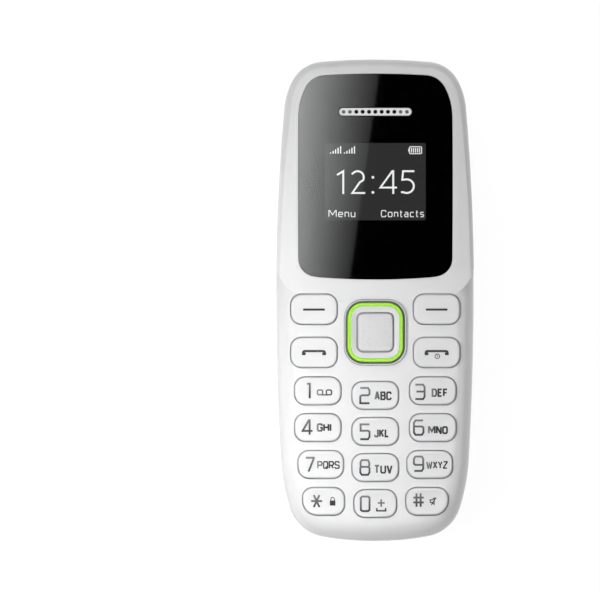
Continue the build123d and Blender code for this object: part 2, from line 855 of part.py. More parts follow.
card_socket(0, battery_y + sim_pitch / 2, sim_width, sim_length, sim_height, "sim_socket_1")
card_socket(0, battery_y - sim_pitch / 2, sim_width, sim_length, sim_height, "sim_socket_2")
card_socket(
    socket_x,
    upper_part_y + card_socket_length / 2,
    card_socket_width,
    card_socket_length,
    card_socket_height,
    "memory_card_socket",
)

# Microphone
with BuildPart() as microphone:
    with BuildSketch(Plane.XY.offset(board_z - fit_gap - microphone_height)):
        with Locations((microphone_x, -half_length + microphone_margin)):
            Circle(microphone_diameter / 2)
    extrude(amount=microphone_height)
    fillet(microphone.faces().sort_by(Axis.Z)[0].edges(), fit_gap * 2)
finish(microphone, "microphone")

# Lamps that light the keys
with BuildPart() as keypad_leds:
    with BuildSketch(Plane.XY.offset(board_top_z)):
        led_x = column_pitch / 2
        led_y = last_row_y + row_pitch / 2
        with Locations((0, led_y + row_pitch)):
            with GridLocations(2 * led_x, 2 * row_pitch, 2, 2):
                Rectangle(led_width, led_length)
    extrude(amount=led_height)
finish(keypad_leds, "keypad_leds")


# Charging and data socket


def usb_section(shrink):
    """Flat rectangle with its two rear corners cut off, as the plug's shape is."""
    width, height = usb_width / 2 - shrink, usb_height / 2 - shrink
    cut = usb_chamfer - shrink / 2
    with BuildLine() as section:
        Polyline(
            (-width, usb_z + height),
            (width, usb_z + height),
            (width, usb_z - height + cut),
            (width - cut, usb_z - height),
            (-width + cut, usb_z - height),
            (-width, usb_z - height + cut),
            close=True,
        )
    make_face(section.edges())


with BuildPart() as usb_socket_shell:
    with BuildSketch(Plane.XZ.offset(-usb_mouth_y)):
        usb_section(0)
    extrude(amount=-usb_depth)
    with BuildSketch(Plane.XZ.offset(-usb_mouth_y)):
        usb_section(usb_skin)
    extrude(amount=-usb_depth, mode=Mode.SUBTRACT)
finish(usb_socket_shell, "usb_socket_shell")

block_depth = usb_depth - tongue_reach - fit_gap
with BuildPart() as usb_socket_tongue:
    with BuildSketch(Plane.XZ.offset(-usb_mouth_y - usb_depth)):
        usb_section(usb_skin + fit_gap)
    extrude(amount=block_depth)
    with BuildSketch(Plane.XZ.offset(-usb_mouth_y - usb_depth + block_depth)):
        with Locations((0, usb_z + tongue_thickness / 2)):
            Rectangle(tongue_width, tongue_thickness)
    extrude(amount=tongue_reach - usb_skin)
finish(usb_socket_tongue, "usb_socket_tongue")

# Battery pack, its pads and the terminals that press on them
with BuildPart() as battery_pack:
    with BuildSketch(Plane.XY.offset(battery_z)):
        with Locations((0, battery_y)):
            RectangleRounded(battery_width, battery_length, battery_corner_radius)
    extrude(amount=battery_thickness)
    flat_faces = battery_pack.faces().filter_by(Axis.Z)
    fillet([edge for face in flat_faces for edge in face.edges()], battery_edge_radius)
finish(battery_pack, "battery_pack")

with BuildPart() as battery_pads:
    with BuildSketch(Plane.XZ.offset(-battery_end_y - pad_depth)):
        with Locations((0, leaf_z)):
            with GridLocations(leaf_pitch, leaf_pitch, leaf_count, 1):
                Rectangle(pad_width, pad_width)
    extrude(amount=pad_depth)
finish(battery_pads, "battery_pads")

leaf_tip_y = battery_end_y + pad_depth + leaf_gap
with BuildPart() as battery_terminals:
    with BuildSketch(Plane.XY.offset(floor_z - fit_gap - terminal_height)):
        with Locations((0, leaf_tip_y + leaf_reach + terminal_length / 2)):
            Rectangle(terminal_width, terminal_length)
    extrude(amount=terminal_height)
    with BuildSketch(Plane.XZ.offset(-leaf_tip_y - leaf_reach)):
        with Locations((0, leaf_z)):
            with GridLocations(leaf_pitch, leaf_pitch, leaf_count, 1):
                Rectangle(leaf_width, leaf_width)
    extrude(amount=leaf_reach)
finish(battery_terminals, "battery_terminals")

# Loudspeaker
with BuildPart() as loudspeaker_frame:
    with BuildSketch(Plane.XY.offset(speaker_z)):
        with Locations((0, slot_y)):
            RectangleRounded(speaker_width, speaker_length, speaker_corner_radius)
    extrude(amount=speaker_top_z - speaker_z)
    with BuildSketch(Plane.XY.offset(speaker_z)):
        with Locations((0, slot_y)):
            RectangleRounded(
                speaker_width - 2 * speaker_rim,
                speaker_length - 2 * speaker_rim,
                speaker_corner_radius,
            )
    extrude(amount=speaker_recess, mode=Mode.SUBTRACT)
finish(loudspeaker_frame, "loudspeaker_frame")

with BuildPart() as loudspeaker_cone:
    cone_z = speaker_z + speaker_recess - fit_gap - cone_thickness
    cone_margin = speaker_rim + fit_gap
    with BuildSketch(Plane.XY.offset(cone_z)):
        with Locations((0, slot_y)):
            RectangleRounded(
                speaker_width - 2 * cone_margin,
                speaker_length - 2 * cone_margin,
                speaker_corner_radius,
            )
    extrude(amount=cone_thickness)
    with BuildSketch(Plane.XY.offset(cone_z)):
        with Locations((0, slot_y)):
            Circle(cone_dome_diameter / 2)
    extrude(amount=-cone_thickness, taper=45)
finish(loudspeaker_cone, "loudspeaker_cone")

# Vibration motor, with a half-round weight on its shaft
with BuildPart() as motor_can:
    with BuildSketch(Plane.XZ.offset(-motor_y)):
        with Locations((motor_x, motor_z)):
            Circle(motor_diameter / 2)
    extrude(amount=-motor_length)
    chamfer(motor_can.edges().filter_by(GeomType.CIRCLE), seat_gap / 2)
    with BuildSketch(Plane.XZ.offset(-motor_y - motor_length)):
        with Locations((motor_x, motor_z)):
            Circle(shaft_diameter / 2 + shaft_bore_gap)
    extrude(amount=shaft_grip + fit_gap, mode=Mode.SUBTRACT)
finish(motor_can, "motor_can")

shaft_end_y = motor_y + motor_length + shaft_run + weight_length
with BuildPart() as motor_shaft:
    with BuildSketch(Plane.XZ.offset(-shaft_end_y)):
        with Locations((motor_x, motor_z)):
            Circle(shaft_diameter / 2)
    extrude(amount=shaft_grip + shaft_run + weight_length)
finish(motor_shaft, "motor_shaft")

with BuildPart() as motor_weight:
    with BuildSketch(Plane.XZ.offset(-shaft_end_y)):
        with Locations((motor_x, motor_z)):
            Circle(weight_radius)
        with Locations((motor_x, motor_z + weight_radius + shaft_diameter)):
            Rectangle(4 * weight_radius, 2 * weight_radius, mode=Mode.SUBTRACT)
        with Locations((motor_x, motor_z)):
            Circle(shaft_diameter / 2, mode=Mode.SUBTRACT)
    extrude(amount=weight_length)
finish(motor_weight, "motor_weight")

# Antenna foil round the charging socket
antenna_top_y = battery_start_y - 2 * seat_gap - bay_wall
with BuildPart() as antenna_foil:
    antenna_width = battery_width - 2 * antenna_inset
    with BuildSketch(Plane.XY.offset(floor_z - fit_gap - antenna_thickness)):
        with Locations((0, antenna_top_y - antenna_length / 2)):
            Rectangle(antenna_width, antenna_length)
        with Locations((0, antenna_top_y - antenna_bridge - antenna_length / 2)):
            Rectangle(usb_width + 2 * seat_gap, antenna_length, mode=Mode.SUBTRACT)
        arm = (antenna_width - usb_width) / 2 - seat_gap
        arm_x = antenna_width / 2 - arm / 2
        for side in (-1, 1):
            with Locations((side * (arm_x - arm / 6), antenna_top_y - antenna_length / 3)):
                Rectangle(arm * 2 / 3, antenna_slot_width, mode=Mode.SUBTRACT)
            with Locations((side * (arm_x + arm / 6), antenna_top_y - antenna_length * 2 / 3)):
                Rectangle(arm * 2 / 3, antenna_slot_width, mode=Mode.SUBTRACT)
    extrude(amount=antenna_thickness)
finish(antenna_foil, "antenna_foil")

# Lens, and the black print on its back with a clear window
with BuildPart() as display_lens:
    add(lens_slab(lens_z, lens_top_z, 0))
    with BuildSketch(Plane.XY.offset(lens_z)):
        with Locations((0, grille_y)):
            SlotOverall(grille_width + 2 * fit_gap, grille_height + 2 * fit_gap)
    extrude(amount=lens_thickness, mode=Mode.SUBTRACT)
finish(display_lens, "display_lens")

with BuildPart() as lens_print:
    with BuildSketch(Plane.XY.offset(print_z)):
        lens_outline()
        with Locations((0, window_y)):
            RectangleRounded(window_width, window_height, window_radius, mode=Mode.SUBTRACT)
        with Locations((0, grille_y)):
            grille_clear = 2 * fit_gap
            SlotOverall(
                grille_width + grille_clear, grille_height + grille_clear, mode=Mode.SUBTRACT
            )
    extrude(amount=print_thickness)
finish(lens_print, "lens_print")

# Earpiece: a drilled metal grille, a cloth and the receiver behind them
with BuildPart() as earpiece_grille:
    with BuildSketch(Plane.XY.offset(print_z)):
        with Locations((0, grille_y)):
            SlotOverall(grille_width, grille_height)
    extrude(amount=lens_top_z - print_z)
    grille_rim = earpiece_grille.faces().sort_by(Axis.Z)[-1].edges()
    fillet(grille_rim, fit_gap * 2)
    with BuildSketch(Plane.XY.offset(lens_top_z)):
        with Locations((0, grille_y)):
            with GridLocations(grille_hole_pitch, grille_hole_pitch, grille_open_count, 1):
                Circle(grille_hole_diameter / 2)
    extrude(amount=print_z - lens_top_z, mode=Mode.SUBTRACT)
    with BuildSketch(Plane.XY.offset(lens_top_z)):
        for number in range(grille_open_count // 2 + 1, grille_hole_count // 2 + 1):
            x = number * grille_hole_pitch
            with Locations((-x, grille_y), (x, grille_y)):
                Circle(grille_hole_diameter / 2)
    extrude(amount=-grille_blind_depth, mode=Mode.SUBTRACT)
finish(earpiece_grille, "earpiece_grille")

with BuildPart() as earpiece_cloth:
    with BuildSketch(Plane.XY.offset(mesh_z)):
        with Locations((0, grille_y)):
            SlotOverall(grille_width + grille_height, 2 * grille_height)
    extrude(amount=mesh_thickness)
finish(earpiece_cloth, "earpiece_cloth")

receiver_z = holder_top_z + fit_gap
with BuildPart() as earpiece_receiver:
    with BuildSketch(Plane.XY.offset(receiver_z)):
        with Locations((0, grille_y)):
            SlotOverall(receiver_width, receiver_height)
    extrude(amount=mesh_z - 2 * fit_gap - receiver_z)
    with BuildSketch(Plane.XY.offset(mesh_z - 2 * fit_gap)):
        with Locations((0, grille_y)):
            SlotOverall(receiver_width / 2, grille_height)
    extrude(amount=-2 * fit_gap, mode=Mode.SUBTRACT)
finish(earpiece_receiver, "earpiece_receiver")

# Display panel, its holder and its flex
with BuildPart() as oled_panel:
    with BuildSketch(Plane.XY.offset(panel_z)):
        with Locations((0, panel_y)):
            Rectangle(panel_width, panel_height)
    extrude(amount=panel_thickness)
    with BuildSketch(Plane.XY.offset(panel_top_z)):
        with Locations((0, panel_bottom_y + panel_ledge / 2)):
            Rectangle(panel_width, panel_ledge)
    extrude(amount=-panel_ledge_height, mode=Mode.SUBTRACT)
finish(oled_panel, "oled_panel")

with BuildPart() as display_holder:
    add(lens_slab(holder_z, holder_top_z, -holder_inset))
    with BuildSketch(Plane.XY.offset(holder_z)):
        with Locations(*screw_places):
            Circle(boss_diameter / 2 + seat_gap)
        with Locations((0, lens_bottom_y)):
            Rectangle(flex_width + 2 * seat_gap, 2 * (panel_bottom_margin + seat_gap))
    extrude(amount=holder_top_z - holder_z, mode=Mode.SUBTRACT)
finish(display_holder, "display_holder")

flex_low_z = board_top_z + fit_gap
flex_high_z = panel_z - fit_gap
flex_radius = (flex_high_z - flex_low_z) / 2
flex_bend_z = (flex_high_z + flex_low_z) / 2
with BuildPart() as oled_flex:
    with BuildSketch(Plane.YZ):
        with Locations((panel_bottom_y, flex_bend_z)):
            Circle(flex_radius)
            Circle(flex_radius - flex_thickness, mode=Mode.SUBTRACT)
        with Locations((panel_bottom_y + flex_radius, flex_bend_z)):
            Rectangle(2 * flex_radius, 3 * flex_radius, mode=Mode.SUBTRACT)
        for low_z, run in (
            (flex_low_z, flex_tail),
            (flex_high_z - flex_thickness, seat_gap),
        ):
            with Locations((panel_bottom_y + run / 2, low_z + flex_thickness / 2)):
                Rectangle(run, flex_thickness)
    extrude(amount=flex_width / 2, both=True)
finish(oled_flex, "oled_flex")

# Keys
key_face = crowned_slab(front_z + key_stand)
with BuildPart() as key_room:
    with BuildSketch(Plane.XY.offset(flange_z)):
        body_outline(-housing_wall - fit_gap)
    extrude(amount=body_thickness)

for name, key in keys.items():
    cap = key_block(key, flange_top_z - flange_thickness / 2, body_thickness, -key_gap)
    flange = key_block(key, flange_z, flange_top_z, flange_lip)
    with BuildPart() as pressed_key:
        add(cap)
        add(key_face, mode=Mode.INTERSECT)
        fillet(pressed_key.faces().sort_by(Axis.Z)[-1].edges(), key_edge_radius)
        add(flange)
        add(key_room.part, mode=Mode.INTERSECT)
    finish(pressed_key, name)

# Navigation key: a fixed trim, the rocker with its coloured ring, and the middle key
with BuildPart() as nav_trim_ring:
    with BuildSketch(Plane.XY.offset(trim_z)):
        nav_shape(0, 0)
        nav_shape(trim_width, trim_width, mode=Mode.SUBTRACT)
    extrude(amount=trim_depth)
    fillet(nav_trim_ring.faces().sort_by(Axis.Z)[-1].edges(), trim_edge_radius)
finish(nav_trim_ring, "nav_trim_ring")

rocker_inset = trim_width + rocker_gap
ring_z = rocker_top_z - ring_height
with BuildPart() as nav_rocker:
    with BuildSketch(Plane.XY.offset(rocker_z)):
        nav_shape(trim_width - rocker_flange_lip, trim_width)
    extrude(amount=rocker_flange_thickness)
    with BuildSketch(Plane.XY.offset(rocker_z)):
        nav_shape(rocker_inset, rocker_inset)
    extrude(amount=ring_z - rocker_z)
    with BuildSketch(Plane.XY.offset(rocker_z)):
        nav_shape(rocker_inset + ring_width, rocker_inset + ring_width)
    extrude(amount=rocker_top_z - rocker_z)
    with BuildSketch(Plane.XY.offset(rocker_z)):
        ok_shape(ok_flange_lip + ok_gap)
    extrude(amount=pad_z - rocker_z, mode=Mode.SUBTRACT)
    dish_inset = rocker_inset + ring_width + pad_rim
    with BuildSketch(Plane.XY.offset(rocker_top_z)):
        nav_shape(dish_inset, dish_inset)
    with BuildSketch(Plane.XY.offset(rocker_top_z - pad_dish)):
        ok_shape(ok_gap + pad_rim)
    loft(ruled=True, mode=Mode.SUBTRACT)
    with BuildSketch(Plane.XY.offset(rocker_z)):
        ok_shape(ok_gap)
    extrude(amount=body_thickness, mode=Mode.SUBTRACT)
finish(nav_rocker, "nav_rocker")

with BuildPart() as nav_colour_ring:
    with BuildSketch(Plane.XY.offset(ring_z)):
        nav_shape(rocker_inset, rocker_inset)
        nav_shape(rocker_inset + ring_width, rocker_inset + ring_width, mode=Mode.SUBTRACT)
    extrude(amount=ring_height)
    fillet(nav_colour_ring.faces().sort_by(Axis.Z)[-1].edges(), trim_edge_radius)
finish(nav_colour_ring, "nav_colour_ring")

with BuildPart() as nav_carrier:
    with BuildSketch(Plane.XY.offset(carrier_z)):
        nav_shape(rocker_inset + carrier_inset, rocker_inset + carrier_inset)
        with Locations((0, nav_y)):
            Circle(carrier_hole_diameter / 2, mode=Mode.SUBTRACT)
    extrude(amount=carrier_thickness)
    with BuildSketch(Plane.XY.offset(nav_plunger_z)):
        with Locations(*nav_dome_places):
            Circle(nav_plunger_diameter / 2)
    extrude(amount=carrier_z - nav_plunger_z)
finish(nav_carrier, "nav_carrier")

with BuildPart() as ok_key:
    ok_flange_z = ok_flange_top_z - flange_thickness
    with BuildSketch(Plane.XY.offset(ok_flange_z)):
        ok_shape(0)
    extrude(amount=front_z + ok_stand - ok_flange_z)
    fillet(ok_key.faces().sort_by(Axis.Z)[-1].edges(), key_edge_radius)
    with BuildSketch(Plane.XY.offset(ok_flange_z)):
        ok_shape(ok_flange_lip)
    extrude(amount=flange_thickness)
    with BuildSketch(Plane.XY.offset(ok_flange_z)):
        with Locations((0, nav_y)):
            Circle(plunger_diameter / 2)
    extrude(amount=nav_plunger_z - ok_flange_z)
finish(ok_key, "ok_key")

# Silicone key mat, with a plunger under each key
with BuildPart() as key_mat:
    mat_top_y = soft_top_y + flange_lip
    with BuildSketch(Plane.XY.offset(keymat_z)):
        body_outline(-keymat_inset)
        with Locations((0, mat_top_y - body_length / 2)):
            Rectangle(body_width, body_length, mode=Mode.INTERSECT)
        nav_shape(-rocker_flange_lip, 0, mode=Mode.SUBTRACT)
    extrude(amount=keymat_thickness)
    with BuildSketch(Plane.XY.offset(plunger_z)):
        with Locations(*[key[:2] for key in keys.values()]):
            Circle(plunger_diameter / 2)
    extrude(amount=plunger_length)
finish(key_mat, "key_mat")

# Snap domes on the board
with BuildPart() as dome_switches:
    with BuildSketch(Plane.XY.offset(board_top_z)):
        with Locations(*[key[:2] for key in keys.values()]):
            Circle(dome_diameter / 2)
        with Locations((0, nav_y), *nav_dome_places):
            Circle(nav_dome_diameter / 2)
    extrude(amount=dome_height, taper=30)
finish(dome_switches, "dome_switches")
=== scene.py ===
import json
import math

import bmesh
import bpy
import numpy as np
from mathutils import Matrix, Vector
from mathutils.bvhtree import BVHTree


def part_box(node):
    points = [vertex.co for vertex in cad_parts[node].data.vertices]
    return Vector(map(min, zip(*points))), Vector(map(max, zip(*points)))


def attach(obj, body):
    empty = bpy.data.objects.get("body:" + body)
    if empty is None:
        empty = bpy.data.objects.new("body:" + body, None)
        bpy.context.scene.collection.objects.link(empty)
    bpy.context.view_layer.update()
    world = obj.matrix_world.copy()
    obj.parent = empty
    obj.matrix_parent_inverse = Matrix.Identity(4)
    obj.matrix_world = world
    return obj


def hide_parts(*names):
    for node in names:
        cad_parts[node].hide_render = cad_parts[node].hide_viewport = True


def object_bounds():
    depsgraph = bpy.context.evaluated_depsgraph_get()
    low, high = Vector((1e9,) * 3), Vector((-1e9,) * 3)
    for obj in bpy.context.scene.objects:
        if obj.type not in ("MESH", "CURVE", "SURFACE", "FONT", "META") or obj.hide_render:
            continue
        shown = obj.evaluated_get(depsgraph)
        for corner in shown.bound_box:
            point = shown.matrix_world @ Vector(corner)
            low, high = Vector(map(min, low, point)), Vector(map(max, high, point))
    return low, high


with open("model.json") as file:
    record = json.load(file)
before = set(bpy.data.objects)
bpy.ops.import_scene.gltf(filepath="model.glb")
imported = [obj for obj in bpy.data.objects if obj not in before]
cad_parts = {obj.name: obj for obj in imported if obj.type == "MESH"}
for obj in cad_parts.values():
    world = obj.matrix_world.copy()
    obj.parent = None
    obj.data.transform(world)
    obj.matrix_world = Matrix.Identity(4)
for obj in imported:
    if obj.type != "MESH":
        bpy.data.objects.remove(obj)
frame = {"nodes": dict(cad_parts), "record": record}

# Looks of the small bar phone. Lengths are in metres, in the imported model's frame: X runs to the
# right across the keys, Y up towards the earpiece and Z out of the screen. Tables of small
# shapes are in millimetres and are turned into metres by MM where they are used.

MM = 0.001
cad_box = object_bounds()
nodes = frame["nodes"]

NUMBER_KEYS = ("key_1", "key_2", "key_3", "key_4", "key_5", "key_6", "key_7", "key_8", "key_9",
               "key_star", "key_0", "key_hash")
FUNCTION_KEYS = ("soft_key_left", "soft_key_right", "call_key", "end_key")

# Photograph: the front view's scale and the pixel that its middle falls on
MM_PER_PIXEL = 0.14046
PHONE_MIDDLE_PX = (375.35, 300.45)
IMAGE_SIDE_PX = 600


# Materials

COAT_ROUGHNESS = 0.04
METAL_GRAINS_PER_METRE = 3000.0
BONDED_BLACK = (0.0008, 0.0008, 0.0008)
BONDED_ROUGHNESS = 0.02


class Finish:
    """A material under construction: its shader and short ways to add nodes."""

    def __init__(self, name, colour=(0.8, 0.8, 0.8), roughness=0.5, metallic=0.0):
        self.material = bpy.data.materials.new(name)
        self.material.use_nodes = True
        self.tree = self.material.node_tree
        self.shader = self.tree.nodes["Principled BSDF"]
        self.set("Base Color", (*colour, 1.0))
        self.set("Roughness", roughness)
        self.set("Metallic", metallic)

    def set(self, socket, value):
        self.shader.inputs[socket].default_value = value

    def add(self, kind, **values):
        node = self.tree.nodes.new(kind)
        for key, value in values.items():
            setattr(node, key, value)
        return node

    def link(self, start, end):
        self.tree.links.new(start, end)

    def place(self, stretch=(1.0, 1.0, 1.0)):
        """Coordinates fixed to the piece, stretched along the axes."""
        coordinates = self.add("ShaderNodeTexCoord")
        mapping = self.add("ShaderNodeMapping")
        mapping.inputs["Scale"].default_value = stretch
        self.link(coordinates.outputs["Object"], mapping.inputs["Vector"])
        return mapping.outputs["Vector"]

    def noise(self, per_metre, stretch=(1.0, 1.0, 1.0), detail=3.0, roughness=0.5):
        noise = self.add("ShaderNodeTexNoise")
        noise.inputs["Scale"].default_value = per_metre
        noise.inputs["Detail"].default_value = detail
        noise.inputs["Roughness"].default_value = roughness
        self.link(self.place(stretch), noise.inputs["Vector"])
        return noise.outputs["Fac"]

    def spread(self, value, low, high, start=0.3, end=0.7):
        """Maps a texture's value from start..end to low..high."""
        spread = self.add("ShaderNodeMapRange")
        spread.inputs["From Min"].default_value = start
        spread.inputs["From Max"].default_value = end
        spread.inputs["To Min"].default_value = low
        spread.inputs["To Max"].default_value = high
        self.link(value, spread.inputs["Value"])
        return spread.outputs["Result"]

    def blend(self, value, dark, light):
        """Colour between dark and light, chosen by a value from 0 to 1."""
        mix = self.add("ShaderNodeMix", data_type="RGBA")
        mix.inputs["A"].default_value = (*dark, 1.0)
        mix.inputs["B"].default_value = (*light, 1.0)
        self.link(value, mix.inputs["Factor"])
        self.link(mix.outputs["Result"], self.shader.inputs["Base Color"])
        return mix.outputs["Result"]

    def vary_colour(self, value, colour, amount):
        """Colour that wanders by amount each way as the value runs from 0 to 1."""
        dark = [c * (1 - amount) for c in colour]
        light = [min(c * (1 + amount), 1.0) for c in colour]
        return self.blend(value, dark, light)

    def vary_roughness(self, value, low, high):
        self.link(self.spread(value, low, high), self.shader.inputs["Roughness"])

    def bump(self, value, height, strength=1.0):
        bump = self.add("ShaderNodeBump")
        bump.inputs["Distance"].default_value = height
        bump.inputs["Strength"].default_value = strength
        self.link(value, bump.inputs["Height"])
        self.link(bump.outputs["Normal"], self.shader.inputs["Normal"])


def moulded(name, colour, roughness=0.3, wander=0.012, coat=0.0, texture=2500.0, depth=0.002):
    """Moulded plastic: a colour that wanders a little and a skin with a faint orange peel."""
    finish = Finish(name, colour, roughness)
    slow = finish.noise(120.0, detail=2.0)
    finish.vary_colour(finish.spread(slow, 0.0, 1.0), colour, wander)
    fine = finish.noise(texture, detail=4.0)
    finish.vary_roughness(fine, roughness * 0.8, roughness * 1.25)
    finish.bump(fine, depth * MM, 0.4)
    if coat:
        finish.set("Coat Weight", coat)
        finish.set("Coat Roughness", COAT_ROUGHNESS)
    return finish.material


def metal(name, colour, roughness, grain=(1.0, 1.0, 1.0), wander=0.03, depth=0.0004):

    """Metal with a grain, drawn out along the axes by the stretch given."""
    finish = Finish(name, colour, roughness, metallic=1.0)
    fine = finish.noise(METAL_GRAINS_PER_METRE, grain, detail=4.0)
    finish.vary_colour(finish.spread(fine, 0.0, 1.0), colour, wander)
    finish.vary_roughness(fine, roughness * 0.93, roughness * 1.08)
    finish.bump(fine, depth * MM, 0.1)

    return finish.material


def polished(name, colour, roughness):
    """Smooth plated metal."""
    finish = Finish(name, colour, roughness, metallic=1.0)
    fine = finish.noise(900.0, detail=2.0)
    finish.vary_colour(finish.spread(fine, 0.0, 1.0), colour, 0.01)
    finish.vary_roughness(fine, roughness * 0.9, roughness * 1.1)
    return finish.material


def brushed_pearl(name, colour):
    """Pearl plastic with short cross strokes, as the rear cover has."""
    finish = Finish(name, colour, 0.34)
    strokes = finish.noise(1000.0, (0.35, 5.0, 1.0), detail=3.0, roughness=0.65)
    finish.vary_colour(finish.spread(strokes, 0.0, 1.0), colour, 0.035)
    finish.vary_roughness(strokes, 0.26, 0.44)
    finish.bump(strokes, 0.004 * MM, 0.5)
    finish.set("Coat Weight", 0.35)
    finish.set("Coat Roughness", 0.12)
    return finish.material


def clear_lens(name):
    finish = Finish(name, (0.97, 0.98, 0.98), 0.015)
    finish.set("Transmission Weight", 1.0)
    finish.set("IOR", 1.49)
    return finish.material


def bonded(name, glow=0.0):
    """Black layer bonded to the back of the lens, which mirrors what is above it.

    The display's layers also give white light of their own.
    """
    finish = Finish(name, BONDED_BLACK, BONDED_ROUGHNESS)
    finish.set("Specular IOR Level", 1.0)
    if glow:
        finish.set("Emission Color", (1.0, 1.0, 1.0, 1.0))
        finish.set("Emission Strength", glow)
    return finish.material


def printed(name, light, dark):
    """Ink that runs from light to dark with the mark's own shade value."""
    finish = Finish(name, dark, 0.45)
    shade = finish.add("ShaderNodeAttribute", attribute_name="shade")
    finish.blend(shade.outputs["Fac"], light, dark)
    return finish.material


WHITE = (0.80, 0.80, 0.805)
KEY_WHITE = (0.79, 0.79, 0.795)
PEARL = (0.70, 0.705, 0.715)
CHROME = (0.78, 0.78, 0.80)
LIME = (0.40, 0.87, 0.045)

CAD_FINISHES = {
    "housing_white": moulded("housing_white", WHITE, 0.2, coat=0.5),
    "cover_pearl": brushed_pearl("cover_pearl", PEARL),
    "lens_clear": clear_lens("lens_clear"),
    "print_black": bonded("print_black"),
    "key_white": moulded("key_white", KEY_WHITE, 0.14, coat=0.6),
    "trim_chrome": polished("trim_chrome", CHROME, 0.14),
    "ring_green": moulded("ring_green", LIME, 0.25),
    "display_glass": moulded("display_glass", (0.006, 0.006, 0.007), 0.12),
    "flex_amber": moulded("flex_amber", (0.40, 0.16, 0.02), 0.3, wander=0.08),
    "chassis_grey": moulded("chassis_grey", (0.045, 0.047, 0.05), 0.5, texture=5000.0, depth=0.01),
    "board_green": moulded("board_green", (0.01, 0.09, 0.04), 0.3, wander=0.15),
    "metal_tin": metal("metal_tin", (0.62, 0.62, 0.60), 0.3, (0.2, 1.0, 1.0)),
    "metal_gold": metal("metal_gold", (0.80, 0.56, 0.20), 0.22),
    "metal_motor": metal("metal_motor", (0.55, 0.55, 0.55), 0.25, (1.0, 0.15, 1.0)),
    "metal_tungsten": metal("metal_tungsten", (0.22, 0.22, 0.23), 0.45),
    "chip_black": moulded("chip_black", (0.012, 0.012, 0.013), 0.5, texture=6000.0, depth=0.006),
    "led_milky": moulded("led_milky", (0.75, 0.70, 0.42), 0.3),
    "silicone_white": moulded("silicone_white", (0.62, 0.63, 0.64), 0.55, wander=0.03),
    "battery_wrap": moulded("battery_wrap", (0.05, 0.055, 0.06), 0.32, wander=0.05, coat=0.3),
    "mesh_grey": moulded("mesh_grey", (0.02, 0.02, 0.022), 0.6, texture=6000.0, depth=0.02),
    "speaker_black": moulded("speaker_black", (0.015, 0.015, 0.016), 0.4),
    "cone_film": moulded("cone_film", (0.10, 0.095, 0.085), 0.3, wander=0.06),
    "copper_foil": metal("copper_foil", (0.80, 0.42, 0.24), 0.28, (0.3, 1.0, 1.0)),
}
INK = printed("legend_ink", (0.20, 0.20, 0.205), (0.03, 0.03, 0.034))
# Grey of the painted shade that is laid on the floors of the grille's blind holes.
HOLE_PAINTED_SHADE = moulded("hole_painted_shade", (0.30, 0.30, 0.31), 0.5)
# The OK key's white is a darker copy of the key white, which is painted shade, with a satin skin.
OK_SATIN_PAINTED_SHADE = moulded("ok_satin_painted_shade", (0.70, 0.70, 0.705), 0.3, coat=0.2)

# The grille's metal is a rougher satin copy of the trim chrome. Its colour is made brighter than
# the chrome's, which is painted light.
GRILLE_SATIN_PAINTED_LIGHT = polished("grille_satin_painted_light", (0.90, 0.90, 0.91), 0.3)
DISPLAY_FIELD = bonded("display_field", 0.031)
DISPLAY_LIT = bonded("display_lit", 0.92)

slot_of = {part["node"]: part["material_slot"] for part in frame["record"]["subparts"]}
for node_name, piece in nodes.items():
    piece.data.materials.clear()
    piece.data.materials.append(CAD_FINISHES[slot_of[node_name]])


# Meshes of new pieces

MARK_THICKNESS = 0.01


def new_piece(name, points, faces, material, smooth=False):
    mesh = bpy.data.meshes.new(name)
    mesh.from_pydata([tuple(p) for p in points], [], faces)
    mesh.update()
    mesh.materials.append(material)
    if smooth:
        mesh.shade_smooth()
    piece = bpy.data.objects.new(name, mesh)
    bpy.context.scene.collection.objects.link(piece)
    return piece


def carried_by(piece, body):
    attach(piece, body)


